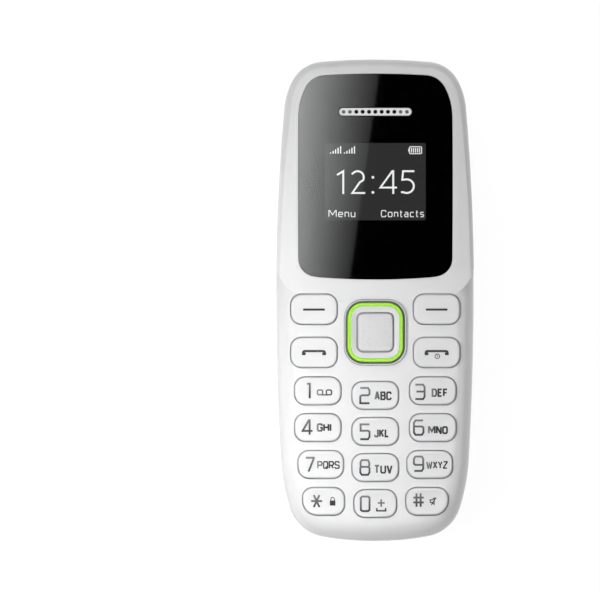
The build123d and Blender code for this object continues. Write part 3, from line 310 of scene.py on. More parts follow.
class Marks:
    """Flat marks gathered into one thin mesh. Points are in millimetres from the middle."""

    def __init__(self):
        self.points = []
        self.faces = []
        self.shades = []

    def add(self, points, faces, shades):
        first = len(self.points)
        self.points += points
        self.faces += [[first + index for index in face] for face in faces]
        self.shades += shades

    def stroke(self, line, width, shade, closed=False):
        """A line of even width with mitred corners."""
        line = [np.array(p, float) for p in line]
        count = len(line)
        left, right = [], []
        for index, point in enumerate(line):
            before = line[index - 1] if index or closed else None
            after = line[(index + 1) % count] if index < count - 1 or closed else None
            headings = [b - a for a, b in ((before, point), (point, after))
                        if a is not None and b is not None]
            headings = [h / np.linalg.norm(h) for h in headings]
            heading = sum(headings) / np.linalg.norm(sum(headings))
            side = np.array([-heading[1], heading[0]])
            square = np.array([-headings[0][1], headings[0][0]])
            reach = width / 2 / max(float(side @ square), 0.5)
            left.append(point + side * reach)
            right.append(point - side * reach)
        rim = left + right
        faces = [[i, (i + 1) % count, count + (i + 1) % count, count + i][::-1]
                 for i in range(count if closed else count - 1)]
        self.add(rim, faces, [shade(*p) for p in rim])

    def patch(self, outline, shade):
        """A filled shape with a convex outline, given anticlockwise."""
        self.add([np.array(p, float) for p in outline], [list(range(len(outline)))],
                 [shade(*p) for p in outline])

    def word(self, text, box, width, gap, shade):
        """Letters of one stroke width that together fill the box given."""
        left, right, bottom, top = box
        shares = [LETTER_WIDTHS.get(letter, 1.0) for letter in text]
        room = right - left - len(text) * width - (len(text) - 1) * gap
        high = top - bottom - width
        for letter, share in zip(text, shares):
            span = room * share / sum(shares)
            for line in LETTER_SHAPES[letter]:
                points = [(left + width / 2 + x * span, bottom + width / 2 + y * high)
                          for x, y in line]
                closed = points[0] == points[-1]
                self.stroke(points[:-1] if closed else points, width, shade, closed)
            left += span + width + gap

    def lay(self, name, middle, height_at, material, thickness=MARK_THICKNESS):
        """Lays the marks on a surface, whose height in metres height_at gives."""
        top, bottom = [], []
        for x, y in self.points:
            place = (middle[0] + x * MM, middle[1] + y * MM)
            z = height_at(*place)
            top.append((*place, z + thickness * MM))
            bottom.append((*place, z - thickness * MM))
        count = len(self.points)
        faces = [list(face) for face in self.faces]
        edges = {}
        for face in self.faces:
            for a, b in zip(face, face[1:] + face[:1]):
                edges[(a, b)] = edges.get((a, b), 0) + 1
        for a, b in edges:
            if (b, a) not in edges:
                faces.append([a, count + a, count + b, b])
        faces += [[count + index for index in reversed(face)] for face in self.faces]
        piece = new_piece(name, top + bottom, faces, material)
        shades = piece.data.attributes.new("shade", "FLOAT", "POINT")
        shades.data.foreach_set("value", self.shades * 2)
        return piece


def arc(middle, radius, start, end, steps=10, squash=1.0):
    """Points on an arc, from start to end degrees."""
    turns = [math.radians(start + (end - start) * i / steps) for i in range(steps + 1)]
    return [(middle[0] + radius * squash * math.cos(t), middle[1] + radius * math.sin(t))
            for t in turns]


def box_line(left, right, bottom, top, corner):
    """Closed outline of a box with cut corners."""
    return [(left + corner, bottom), (right - corner, bottom), (right, bottom + corner),
            (right, top - corner), (right - corner, top), (left + corner, top),
            (left, top - corner), (left, bottom + corner)]


def fall(top, bottom):
    """Ink that darkens from the top of a mark to its bottom."""
    return lambda x, y: min(max((top - y) / (top - bottom), 0.0), 1.0)


def run(left, right):
    """Ink that darkens from the left of a mark to its middle."""
    return lambda x, y: min(max((x - left) / (right - left), 0.0), 1.0)


def even(x, y):
    return 1.0


# Letters as lines in a unit box, with cut corners. Small letters reach up to SMALL.
CUT = 0.16
SMALL = 0.72
LETTER_WIDTHS = {"I": 0.0, "M": 1.45, "W": 1.45, "E": 0.85, "F": 0.85, "L": 0.85, "J": 0.85,
                 "e": 0.8, "n": 0.75, "u": 0.75, "o": 0.85, "t": 0.45, "a": 0.75, "c": 0.75,
                 "s": 0.7}
ROUND = [(CUT, 0), (1 - CUT, 0), (1, CUT), (1, 1 - CUT), (1 - CUT, 1), (CUT, 1), (0, 1 - CUT),
         (0, CUT), (CUT, 0)]
OPEN_ROUND = [(1, 0.74), (1, 1 - CUT), (1 - CUT, 1), (CUT, 1), (0, 1 - CUT), (0, CUT), (CUT, 0),
              (1 - CUT, 0), (1, CUT)]
BOWL = [(0, 0), (0, 1), (1 - CUT, 1), (1, 1 - CUT), (1, 0.6), (1 - CUT, 0.46), (0, 0.46)]
LETTER_SHAPES = {
    "A": [[(0, 0), (0.44, 1), (0.56, 1), (1, 0)], [(0.17, 0.3), (0.83, 0.3)]],
    "B": [[(0, 0), (0, 1), (1 - CUT, 1), (0.96, 1 - CUT), (0.96, 0.64), (1 - CUT, 0.53),
           (1, 0.42), (1, CUT), (1 - CUT, 0), (0, 0)], [(0, 0.53), (1 - CUT, 0.53)]],
    "C": [OPEN_ROUND + [(1, 0.26)]],
    "D": [[(0, 0), (0, 1), (0.7, 1), (1, 0.78), (1, 0.22), (0.7, 0), (0, 0)]],
    "E": [[(1, 1), (0, 1), (0, 0), (1, 0)], [(0, 0.52), (0.85, 0.52)]],
    "F": [[(1, 1), (0, 1), (0, 0)], [(0, 0.5), (0.85, 0.5)]],
    "G": [OPEN_ROUND + [(1, 0.46), (0.55, 0.46)]],
    "H": [[(0, 0), (0, 1)], [(1, 0), (1, 1)], [(0, 0.52), (1, 0.52)]],
    "I": [[(0, 0), (0, 1)]],
    "J": [[(1, 1), (1, CUT), (1 - CUT, 0), (CUT, 0), (0, CUT), (0, 0.26)]],
    "K": [[(0, 0), (0, 1)], [(1, 1), (0.06, 0.42)], [(0.34, 0.6), (1, 0)]],
    "L": [[(0, 1), (0, 0), (1, 0)]],
    "M": [[(0, 0), (0, 1), (0.1, 1), (0.5, 0.3), (0.9, 1), (1, 1), (1, 0)]],
    "N": [[(0, 0), (0, 1), (0.08, 1), (0.92, 0), (1, 0), (1, 1)]],
    "O": [ROUND],
    "P": [BOWL],
    "Q": [ROUND, [(0.55, 0.28), (1.02, -0.08)]],
    "R": [BOWL, [(0.5, 0.46), (1, 0)]],
    "S": [[(1, 0.78), (1, 1 - CUT), (1 - CUT, 1), (CUT, 1), (0, 1 - CUT), (0, 0.66), (CUT, 0.54),
           (1 - CUT, 0.46), (1, 0.34), (1, CUT), (1 - CUT, 0), (CUT, 0), (0, CUT), (0, 0.22)]],
    "T": [[(0, 1), (1, 1)], [(0.5, 0), (0.5, 1)]],
    "U": [[(0, 1), (0, CUT), (CUT, 0), (1 - CUT, 0), (1, CUT), (1, 1)]],
    "V": [[(0, 1), (0.46, 0), (0.54, 0), (1, 1)]],
    "W": [[(0, 1), (0.24, 0), (0.3, 0), (0.5, 0.8), (0.7, 0), (0.76, 0), (1, 1)]],
    "X": [[(0, 0), (1, 1)], [(0, 1), (1, 0)]],
    "Y": [[(0, 1), (0.5, 0.44), (1, 1)], [(0.5, 0.5), (0.5, 0)]],
    "Z": [[(0, 1), (1, 1), (1, 0.9), (0, 0.1), (0, 0), (1, 0)]],
    "a": [[(0.1, SMALL), (1 - CUT, SMALL), (1, SMALL - CUT), (1, 0), (CUT, 0), (0, CUT),
           (0, 0.3), (CUT, 0.42), (1, 0.42)]],
    "c": [[(1, SMALL), (CUT, SMALL), (0, SMALL - CUT), (0, CUT), (CUT, 0), (1, 0)]],
    "e": [[(0, 0.36), (1, 0.36), (1, SMALL - CUT), (1 - CUT, SMALL), (CUT, SMALL),
           (0, SMALL - CUT), (0, CUT), (CUT, 0), (0.95, 0)]],
    "n": [[(0, 0), (0, SMALL), (1 - CUT, SMALL), (1, SMALL - CUT), (1, 0)]],
    "o": [[(x, y * SMALL) for x, y in ROUND]],
    "s": [[(1, SMALL), (CUT, SMALL), (0, SMALL - CUT), (0, 0.46), (CUT, 0.38), (1 - CUT, 0.34),
           (1, 0.26), (1, CUT), (1 - CUT, 0), (0, 0)]],
    "t": [[(0.3, 1), (0.3, CUT), (0.5, 0), (1, 0)], [(0, SMALL), (1, SMALL)]],
    "u": [[(0, SMALL), (0, CUT), (CUT, 0), (1, 0), (1, SMALL)]],
}


# Keys: their dished caps and the marks printed on them

CAP_HEIGHT = 0.6 * MM
TOP_DEPTH = 0.2 * MM
WELD_DISTANCE = MM / 10000
CREASE = math.radians(35)
KEY_DISH = 0.14 * MM
OK_CROWN = 0.16 * MM
RIM_SHARE = 0.92
DISH_SHARES = (0.97, RIM_SHARE, 0.86, 0.76, 0.64, 0.5, 0.34, 0.17)


class Surface:
    """Top of a piece, for laying marks on."""

    def __init__(self, piece):
        mesh = piece.data
        points = [v.co.copy() for v in mesh.vertices]
        self.tree = BVHTree.FromPolygons(points, [list(p.vertices) for p in mesh.polygons])
        self.high = max(p.z for p in points)

    def height_at(self, x, y):
        start = Vector((x, y, self.high + MM))
        hit = self.tree.ray_cast(start, Vector((0, 0, -1)))[0]
        return hit.z if hit else self.high


def cap_middle(node_name):
    """Middle of a key's cap, without the flange under it."""
    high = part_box(node_name)[1].z
    caps = [v.co for v in nodes[node_name].data.vertices if v.co.z > high - CAP_HEIGHT]
    xs, ys = [c.x for c in caps], [c.y for c in caps]
    return (min(xs) + max(xs)) / 2, (min(ys) + max(ys)) / 2


def dished(node_name, depth, finish):
    """The key's own form, with its flat top pressed in, or raised where depth is negative."""
    form = bmesh.new()
    form.from_mesh(nodes[node_name].data)
    bmesh.ops.remove_doubles(form, verts=form.verts, dist=WELD_DISTANCE)
    high = max(v.co.z for v in form.verts)
    top = [f for f in form.faces
           if f.normal.z > 0.999 and min(v.co.z for v in f.verts) > high - TOP_DEPTH]
    rim = {v for f in top for e in f.edges for v in e.verts
           if any(other not in top for other in e.link_faces)}
    middle = Vector((*cap_middle(node_name), 0.0))
    bmesh.ops.delete(form, geom=top, context="FACES")
    ring = sorted(rim, key=lambda v: math.atan2(v.co.y - middle.y, v.co.x - middle.x))
    edge = [v.co.copy() for v in ring]
    for share in DISH_SHARES:
        sink = depth * max(1 - (share / RIM_SHARE) ** 2, 0.0)
        inner = [form.verts.new((middle.x + (p.x - middle.x) * share,
                                 middle.y + (p.y - middle.y) * share, p.z - sink)) for p in edge]
        for i, corner in enumerate(ring):
            after = (i + 1) % len(ring)
            form.faces.new((corner, ring[after], inner[after], inner[i]))
        ring = inner
    height = sum(p.z for p in edge) / len(edge) - depth
    tip = form.verts.new((middle.x, middle.y, height))
    for i, corner in enumerate(ring):
        form.faces.new((corner, ring[(i + 1) % len(ring)], tip))
    mesh = bpy.data.meshes.new("dished_" + node_name)
    form.to_mesh(mesh)
    form.free()
    mesh.shade_smooth()
    mesh.set_sharp_from_angle(angle=CREASE)
    mesh.materials.append(finish)
    piece = bpy.data.objects.new("dished_" + node_name, mesh)
    bpy.context.scene.collection.objects.link(piece)
    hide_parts(node_name)
    carried_by(piece, node_name)
    return piece


DIGIT_SHAPES = {
    "1": [[(0, 1), (1, 1), (1, 0)]],
    "2": [[(0, 1), (1 - CUT, 1), (1, 1 - CUT), (1, 0.6), (1 - CUT, 0.52), (CUT, 0.52), (0, 0.44),
           (0, 0), (1, 0)]],
    "3": [[(0, 1), (1 - CUT, 1), (1, 1 - CUT), (1, 0.6), (1, 0.44), (1, CUT), (1 - CUT, 0),
           (0, 0)], [(0.12, 0.52), (0.94, 0.52)]],
    "4": [[(0.7, 0), (0.7, 1), (0.62, 1), (0, 0.26), (1, 0.26)]],
    "5": [[(1, 1), (0.04, 1), (0.04, 0.57), (1 - CUT, 0.57), (1, 0.5), (1, CUT), (1 - CUT, 0),
           (0, 0)]],
    "6": [[(0.96, 1), (CUT, 1), (0, 1 - CUT), (0, CUT), (CUT, 0), (1 - CUT, 0), (1, CUT),
           (1, 0.5), (1 - CUT, 0.58), (0.06, 0.58)]],
    "7": [[(0, 1), (1, 1), (1, 0.94), (0.34, 0)]],
    "8": [[(0.03, 0.62), (0.03, 1 - CUT), (CUT, 1), (1 - CUT, 1), (0.97, 1 - CUT), (0.97, 0.62),
           (1 - CUT, 0.54), (1, 0.46), (1, CUT), (1 - CUT, 0), (CUT, 0), (0, CUT), (0, 0.46),
           (CUT, 0.54), (0.03, 0.62)], [(CUT, 0.54), (1 - CUT, 0.54)]],
    "9": [[(0.04, 0), (1 - CUT, 0), (1, CUT), (1, 1 - CUT), (1 - CUT, 1), (CUT, 1), (0, 1 - CUT),
           (0, 0.5), (CUT, 0.42), (0.94, 0.42)]],
    "0": [[(0, CUT / 2), (0, 1 - CUT / 2), (CUT, 1), (1 - CUT, 1), (1, 1 - CUT / 2), (1, CUT / 2),
           (1 - CUT, 0), (CUT, 0), (0, CUT / 2)]],
    "star": [[(0, 0.5), (1, 0.5)], [(0.24, 0.98), (0.76, 0.02)], [(0.76, 0.98), (0.24, 0.02)]],
    "hash": [[(0.3, 0), (0.3, 1)], [(0.7, 0), (0.7, 1)], [(0, 0.32), (1, 0.32)],
             [(0, 0.68), (1, 0.68)]],
}
DIGIT_STROKE = 0.27
LETTER_STROKE = 0.25
FOUR_LETTER_STROKE = 0.2
LETTER_GAP = 0.04
LETTER_REACH = 0.06
SHADED_SHARE = 0.4
SPOOL_LEFTS = (-0.05, 1.2)
SPOOL_WIDTH = 0.72
SPOOL_STROKE = 0.2
LOCK_STROKE = 0.12
PLUS_STROKE = 0.23
TRAY_STROKE = 0.22
QUIET_STROKE = 0.15
HANDSET_Y = 0.06
HANDSET_STROKE = 0.31
POWER_MIDDLE = (0.09, -0.54)
POWER_RADIUS = 0.32
POWER_STROKE = 0.12
SOFT_KEY_BAR = ((-1.52, -0.045), (1.52, -0.045))
SOFT_KEY_STROKE = 0.3
# Box of each number, then its letters with the box of those: left, right, bottom, top
LEGENDS = {
    "key_1": ("1", (-1.55, -1.14, -1.05, 1.0), None, None),
    "key_2": ("2", (-2.12, -0.82, -1.1, 1.05), "ABC", (-0.13, 2.30, -0.62, 0.50)),
    "key_3": ("3", (-2.46, -1.16, -1.15, 0.87), "DEF", (-0.18, 2.12, -0.80, 0.27)),
    "key_4": ("4", (-2.13, -0.74, -0.98, 1.05), "GHI", (-0.15, 1.91, -0.50, 0.56)),
    "key_5": ("5", (-2.12, -0.82, -1.08, 1.0), "JKL", (-0.18, 1.95, -0.78, 0.33)),
    "key_6": ("6", (-2.66, -1.32, -1.0, 1.02), "MNO", (-0.69, 2.12, -0.84, 0.16)),
    "key_7": ("7", (-2.12, -1.0, -1.0, 0.95), "PQRS", (-0.53, 2.66, -0.57, 0.43)),
    "key_8": ("8", (-2.12, -0.82, -1.02, 1.05), "TUV", (-0.21, 2.42, -0.79, 0.33)),
    "key_9": ("9", (-2.23, -0.92, -0.9, 1.12), "WXYZ", (-0.51, 2.52, -0.55, 0.43)),
    "key_star": ("star", (-1.76, -0.2, -0.85, 0.94), None, None),
    "key_0": ("0", (-2.04, -0.82, -1.04, 1.0), None, None),
    "key_hash": ("hash", (-1.93, -0.46, -0.75, 1.15), None, None),
}


def draw_number(marks, shape, box):
    left, right, bottom, top = box
    shade = fall(top, bottom)
    for line in DIGIT_SHAPES[shape]:
        points = [(left + x * (right - left), bottom + y * (top - bottom)) for x, y in line]
        closed = points[0] == points[-1]
        marks.stroke(points[:-1] if closed else points, DIGIT_STROKE, shade, closed)


def draw_answering_sign(marks):
    """Two spools on a line, beside the 1."""
    shade = run(-0.2, 2.0)
    for left in SPOOL_LEFTS:
        marks.stroke(box_line(left, left + SPOOL_WIDTH, -0.55, 0.12, 0.12), SPOOL_STROKE, shade,
                     closed=True)
    marks.stroke([(0.55, -0.57), (1.4, -0.57)], SPOOL_STROKE, shade)


def draw_lock(marks):
    """Padlock, beside the star."""
    marks.patch([(0.88, -0.58), (1.66, -0.58), (1.66, 0.12), (0.88, 0.12)], even)
    marks.stroke([(1.03, 0.1), (1.03, 0.32), *arc((1.27, 0.34), 0.24, 180, 0, 8), (1.51, 0.1)],
                 LOCK_STROKE, even)


def draw_plus_and_tray(marks):
    """Plus sign over a tray, beside the 0."""
    shade = fall(0.7, -1.1)
    marks.stroke([(0.82, -0.42), (0.82, 0.62)], PLUS_STROKE, shade)
    marks.stroke([(0.34, 0.1), (1.32, 0.1)], PLUS_STROKE, shade)
    marks.stroke([(0.2, -0.6), (0.2, -1.0), (1.45, -1.0), (1.45, -0.6)], TRAY_STROKE, shade)


def draw_quiet_sign(marks):
    """Small loudspeaker with a stroke through it, beside the hash."""
    marks.stroke([(0.45, -0.17), (0.45, 0.22), (0.7, 0.22), (1.0, 0.46), (1.0, -0.42),
                  (0.7, -0.17), (0.45, -0.17)], QUIET_STROKE, even)
    marks.stroke([(0.6, -0.5), (1.24, 0.54)], QUIET_STROKE, even)



def draw_handset(marks, y):
    """Handset laid flat: a bar whose two ends turn down."""
    marks.stroke([(-1.5, y - 0.36), (-1.5, y + 0.02), (-1.36, y + 0.13), (1.36, y + 0.13),
                  (1.5, y + 0.02), (1.5, y - 0.36)], HANDSET_STROKE, even)

    for side in (-1, 1):
        inner, outer = side * 1.16, side * 1.70
        low, high = y - 0.44, y - 0.06
        corners = [(inner, low), (outer, low), (outer, high), (inner, high)]
        marks.patch(corners if side > 0 else corners[::-1], even)


def draw_power_sign(marks, middle):
    """Ring with a short upright stroke in it."""
    marks.stroke(arc(middle, POWER_RADIUS, 0, 345, 23), POWER_STROKE, even, closed=True)
    marks.stroke([(middle[0], middle[1] - 0.14), (middle[0], middle[1] + 0.15)], POWER_STROKE,
                 even)


SIGNS = {
    "key_1": draw_answering_sign,
    "key_star": draw_lock,
    "key_0": draw_plus_and_tray,
    "key_hash": draw_quiet_sign,
}
for key_name in NUMBER_KEYS:
    shape, box, letters, letter_box = LEGENDS[key_name]
    marks = Marks()
    draw_number(marks, shape, box)
    if letters:
        left, right, bottom, top = letter_box
        letter_box = (left, right, bottom - LETTER_REACH, top + LETTER_REACH)
        width = LETTER_STROKE if len(letters) < 4 else FOUR_LETTER_STROKE
        marks.word(letters, letter_box, width, LETTER_GAP,
                   run(left, left + SHADED_SHARE * (right - left)))

    if key_name in SIGNS:
        SIGNS[key_name](marks)
    surface = Surface(dished(key_name, KEY_DISH, CAD_FINISHES["key_white"]))
    piece = marks.lay("legend_" + key_name, cap_middle(key_name), surface.height_at, INK)
    carried_by(piece, key_name)

for key_name in FUNCTION_KEYS:
    marks = Marks()
    if key_name.startswith("soft"):
        marks.stroke(SOFT_KEY_BAR, SOFT_KEY_STROKE, even)
    else:
        draw_handset(marks, HANDSET_Y)
    if key_name == "end_key":
        draw_power_sign(marks, POWER_MIDDLE)
    surface = Surface(dished(key_name, KEY_DISH, CAD_FINISHES["key_white"]))
    piece = marks.lay("legend_" + key_name, cap_middle(key_name), surface.height_at, INK)
    carried_by(piece, key_name)

# The OK key is raised, and takes the darker copy of the key white, which is painted shade.
dished("ok_key", -OK_CROWN, OK_SATIN_PAINTED_SHADE)


# Print behind the lens: the node's own form, a hair clear of the lens that it is bonded to

LENS_CLEARANCE = 0.01 * MM
print_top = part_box("lens_print")[1].z
print_points = [(*v.co[:2], min(v.co.z, print_top - LENS_CLEARANCE))
                for v in nodes["lens_print"].data.vertices]
print_faces = [list(p.vertices) for p in nodes["lens_print"].data.polygons]
piece = new_piece("lens_backing", print_points, print_faces, CAD_FINISHES["print_black"])
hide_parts("lens_print")
carried_by(piece, "phone")


# Earpiece grille: painted shade on the floors of the shallow holes at its two ends, grey discs laid
# where these recesses fall into shade

# The grille takes the brighter satin copy of the chrome: satin roughness, and painted light in its
# colour.
nodes["earpiece_grille"].data.materials[0] = GRILLE_SATIN_PAINTED_LIGHT
grille_low, grille_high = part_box("earpiece_grille")
GRILLE_MIDDLE = ((grille_low.x + grille_high.x) / 2, (grille_low.y + grille_high.y) / 2)
HOLE_PITCH = 0.89
HOLE_FLOOR_RADIUS = 0.25
BLIND_HOLE_STEPS = (-5, -4, 4, 5)
# Grey discs of painted shade, one on the floor of each blind hole.
painted_hole_shade = Marks()
for step in BLIND_HOLE_STEPS:
    painted_hole_shade.patch(arc((step * HOLE_PITCH, 0.0), HOLE_FLOOR_RADIUS, 0, 340, 17), even)
piece = painted_hole_shade.lay("grille_hole_painted_shade", GRILLE_MIDDLE, Surface(nodes["earpiece_grille"]).height_at,
                   HOLE_PAINTED_SHADE)
carried_by(piece, "phone")


# Display: the lit field and what it shows

panel_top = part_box("oled_panel")[1].z
WINDOW_MIDDLE = (0.0, 16.70 * MM)
WINDOW_SIZE = (14.19, 10.86)
FIELD_MARGIN = 0.35
FIELD_THICKNESS = 0.02
MARKS_RISE = 0.03 * MM
half_w = WINDOW_SIZE[0] / 2 + FIELD_MARGIN
half_h = WINDOW_SIZE[1] / 2 + FIELD_MARGIN
field = Marks()
field.patch([(-half_w, -half_h), (half_w, -half_h), (half_w, half_h), (-half_w, half_h)], even)
piece = field.lay("display_field", WINDOW_MIDDLE, lambda x, y: panel_top, DISPLAY_FIELD,
                  FIELD_THICKNESS)
carried_by(piece, "phone")

SIGN_FOOT = 3.96
SIGNAL_LEFTS = (-6.36, -4.42)
SIGNAL_BARS = 5
SIGNAL_PITCH = 0.353
SIGNAL_BAR_WIDTH = 0.165
SIGNAL_FIRST_HEIGHT = 0.16
SIGNAL_RISE = 0.22
CHARGE_BOX = (4.82, 6.52, 3.95, 4.92)
CHARGE_STROKE = 0.12
CHARGE_BARS = 5
CHARGE_PITCH = 0.28
CHARGE_BAR_WIDTH = 0.14
CHARGE_MARGIN = 0.16
CHARGE_FIRST = 0.22
CHARGE_CORNER = 0.1
TERMINAL_WIDTH = 0.17
TERMINAL_INSET = 0.3


def draw_signal(marks, left):
    """Five bars that rise to the right."""
    for index in range(SIGNAL_BARS):
        x = left + SIGNAL_PITCH * index
        right = x + SIGNAL_BAR_WIDTH
        high = SIGN_FOOT + SIGNAL_FIRST_HEIGHT + SIGNAL_RISE * index
        marks.patch([(x, SIGN_FOOT), (right, SIGN_FOOT), (right, high), (x, high)], even)


def draw_charge(marks):
    """Battery sign with its charge in bars."""
    left, right, bottom, top = CHARGE_BOX
    marks.stroke(box_line(left, right, bottom, top, CHARGE_CORNER), CHARGE_STROKE, even,
                 closed=True)
    low, high = bottom + TERMINAL_INSET, top - TERMINAL_INSET
    marks.patch([(left - TERMINAL_WIDTH, low), (left, low), (left, high),
                 (left - TERMINAL_WIDTH, high)], even)
    low, high = bottom + CHARGE_MARGIN, top - CHARGE_MARGIN
    for index in range(CHARGE_BARS):
        x = left + CHARGE_FIRST + CHARGE_PITCH * index
        right = x + CHARGE_BAR_WIDTH
        marks.patch([(x, low), (right, low), (right, high), (x, high)], even)


CLOCK_STROKE = 0.27
CLOCK_TOP, CLOCK_BOTTOM = 1.62, -1.72
COLON_RADIUS = 0.2
COLON_X = -0.33
COLON_YS = (0.62, -1.5)


def draw_clock(marks):
    """The time, in thin round figures."""
    low, high = CLOCK_BOTTOM + CLOCK_STROKE / 2, CLOCK_TOP - CLOCK_STROKE / 2
    lines = [
        [(-5.38, 0.95), (-4.5, high), (-4.5, CLOCK_BOTTOM)],
        [(-3.32, high - 0.42), *arc((-2.47, high - 0.87), 0.87, 120, -28, 12, 0.98),
         (-2.2, -0.1), (-3.22, low), (-1.42, low)],
        [(2.53, CLOCK_BOTTOM), (2.53, high), (2.4, high), (0.72, -0.82), (3.06, -0.82)],
        [(5.5, high), (3.92, high), (3.8, 0.28), *arc((4.42, -0.62), 0.96, 108, -118, 16, 1.05),
         (3.62, low + 0.12)],
    ]
    for line in lines:
        marks.stroke(line, CLOCK_STROKE, even)
    for y in COLON_YS:
        marks.patch(arc((COLON_X, y), COLON_RADIUS, 0, 330, 11), even)


SCREEN_WORDS = {"Menu": (-6.57, -2.80, -4.98, -3.99), "Contacts": (0.81, 6.86, -4.98, -3.99)}
WORD_STROKE = 0.115
WORD_GAP = 0.22
screen = Marks()
for left in SIGNAL_LEFTS:
    draw_signal(screen, left)
draw_charge(screen)
draw_clock(screen)
for text, box in SCREEN_WORDS.items():
    screen.word(text, box, WORD_STROKE, WORD_GAP, even)
piece = screen.lay("display_marks", WINDOW_MIDDLE, lambda x, y: panel_top + MARKS_RISE,
                   DISPLAY_LIT)
carried_by(piece, "phone")


# Stage: floor, reflection card, lights and camera

FLOOR_SHARE = 0.7
FLOOR_WHITE = 1.33
FLOOR_GREY = 0.42
FLOOR_GAP = 0.02 * MM
FLOOR_REACH = 1.5


def floor_material():
    """Pale floor, thin to the camera and open from below, so that a lowered cover shows.

    It dims only where the phone keeps light from it, and lets the lamp below reach the back.
    """
    finish = Finish("floor", (FLOOR_GREY, FLOOR_GREY, FLOOR_GREY), 0.9)
    finish.set("Specular IOR Level", 0.0)
    paths = finish.add("ShaderNodeLightPath")
    sides = finish.add("ShaderNodeNewGeometry")
    white = finish.add("ShaderNodeEmission")
    white.inputs["Strength"].default_value = FLOOR_WHITE
    clear = finish.add("ShaderNodeBsdfTransparent")
    mirrored = finish.add("ShaderNodeMath", operation="ADD", use_clamp=True)
    finish.link(paths.outputs["Is Glossy Ray"], mirrored.inputs[0])
    finish.link(paths.outputs["Is Transmission Ray"], mirrored.inputs[1])
    surface = finish.shader.outputs[0]
    for rays, shown in ((mirrored.outputs[0], white), (paths.outputs["Is Camera Ray"], clear)):
        share = finish.add("ShaderNodeMath", operation="MULTIPLY")
        share.inputs[1].default_value = FLOOR_SHARE
        finish.link(rays, share.inputs[0])
        mix = finish.add("ShaderNodeMixShader")
        finish.link(share.outputs[0], mix.inputs[0])
        finish.link(surface, mix.inputs[1])
        finish.link(shown.outputs[0], mix.inputs[2])
        surface = mix.outputs[0]
    open_to = finish.add("ShaderNodeMath", operation="ADD", use_clamp=True)
    finish.link(sides.outputs["Backfacing"], open_to.inputs[0])
    finish.link(paths.outputs["Is Shadow Ray"], open_to.inputs[1])
    one_sided = finish.add("ShaderNodeMixShader")
    finish.link(open_to.outputs[0], one_sided.inputs[0])
    finish.link(surface, one_sided.inputs[1])
    finish.link(clear.outputs[0], one_sided.inputs[2])
    finish.link(one_sided.outputs[0], finish.tree.nodes["Material Output"].inputs["Surface"])
    return finish.material


floor_z = cad_box[0][2] - FLOOR_GAP
floor = new_piece("floor", [(x * FLOOR_REACH, y * FLOOR_REACH, floor_z)
                            for x, y in ((-1, -1), (1, -1), (1, 1), (-1, 1))],
                  [[0, 1, 2, 3]], floor_material())

CAMERA_HEIGHT = 1.0
SENSOR_WIDTH = 36.0
FARTHEST = 10.0
frame_width = IMAGE_SIDE_PX * MM_PER_PIXEL * MM
front_z = cad_box[1][2]
camera_data = bpy.data.cameras.new("camera")
camera_data.sensor_width = SENSOR_WIDTH
camera_data.lens = SENSOR_WIDTH * CAMERA_HEIGHT / frame_width
camera_data.clip_end = FARTHEST
camera = bpy.data.objects.new("camera", camera_data)
camera.location = (
    (IMAGE_SIDE_PX / 2 - PHONE_MIDDLE_PX[0]) * MM_PER_PIXEL * MM,
    (PHONE_MIDDLE_PX[1] - IMAGE_SIDE_PX / 2) * MM_PER_PIXEL * MM,
    front_z + CAMERA_HEIGHT,
)
bpy.context.scene.collection.objects.link(camera)
bpy.context.scene.camera = camera

# Card that the display lens mirrors: it glows at the left, up to a slanted edge, and is black
# beyond it. Places are millimetres on the phone, at which the camera sees the card mirrored.
CARD_STRENGTH = 8.5
CARD_SEAM = 0.05
CARD_RISE = 0.3
CARD_LEFT = -11.2
CARD_RIGHT = 12.6
CARD_EDGE = ((0.485, 31.8), (-3.60, 3.15))
CARD_Y = (2.0, 33.0)
CARD_STEPS = 24
EDGE_LEVEL = 0.022
LEFT_LEVELS = (0.22, 0.31)
card_scale = 1 + CARD_RISE / CAMERA_HEIGHT
card_points, card_faces, card_glow = [], [], []
edge_slope = (CARD_EDGE[0][0] - CARD_EDGE[1][0]) / (CARD_EDGE[0][1] - CARD_EDGE[1][1])
for row in range(CARD_STEPS + 1):
    up = row / CARD_STEPS
    y = CARD_Y[0] + (CARD_Y[1] - CARD_Y[0]) * up
    edge_x = CARD_EDGE[1][0] + edge_slope * (y - CARD_EDGE[1][1])
    left_level = LEFT_LEVELS[0] + (LEFT_LEVELS[1] - LEFT_LEVELS[0]) * up
    spots = [(CARD_RIGHT, 0.0), (edge_x + CARD_SEAM, 0.0)]
    for column in range(CARD_STEPS + 1):
        across = column / CARD_STEPS
        root = EDGE_LEVEL ** 0.5 + (left_level ** 0.5 - EDGE_LEVEL ** 0.5) * across
        spots.append((edge_x + (CARD_LEFT - edge_x) * across, root ** 2))
    for x, level in spots:
        seen_x = x * MM * card_scale - camera.location.x * CARD_RISE / CAMERA_HEIGHT
        seen_y = y * MM * card_scale - camera.location.y * CARD_RISE / CAMERA_HEIGHT
        card_points.append((seen_x, seen_y, front_z + CARD_RISE))
        card_glow.append(level)
    count = len(spots)
    if row:
        first = (row - 1) * count
        card_faces += [[first + i, first + i + 1, first + count + i + 1, first + count + i]
                       for i in range(count - 1)]
card_finish = Finish("reflection_card", (0.0, 0.0, 0.0), 1.0)
card_finish.set("Specular IOR Level", 0.0)
glow = card_finish.add("ShaderNodeAttribute", attribute_name="glow")
card_level = card_finish.add("ShaderNodeMath", operation="MULTIPLY")
card_level.inputs[1].default_value = CARD_STRENGTH
card_finish.link(glow.outputs["Fac"], card_level.inputs[0])
card_finish.link(card_level.outputs[0], card_finish.shader.inputs["Emission Strength"])
card_finish.set("Emission Color", (1.0, 1.0, 1.0, 1.0))
card = new_piece("reflection_card", card_points, card_faces, card_finish.material)
card_values = card.data.attributes.new("glow", "FLOAT", "POINT")
card_values.data.foreach_set("value", card_glow)
for ray_kind in ("camera", "diffuse", "shadow", "volume_scatter"):
    setattr(card, "visible_" + ray_kind, False)


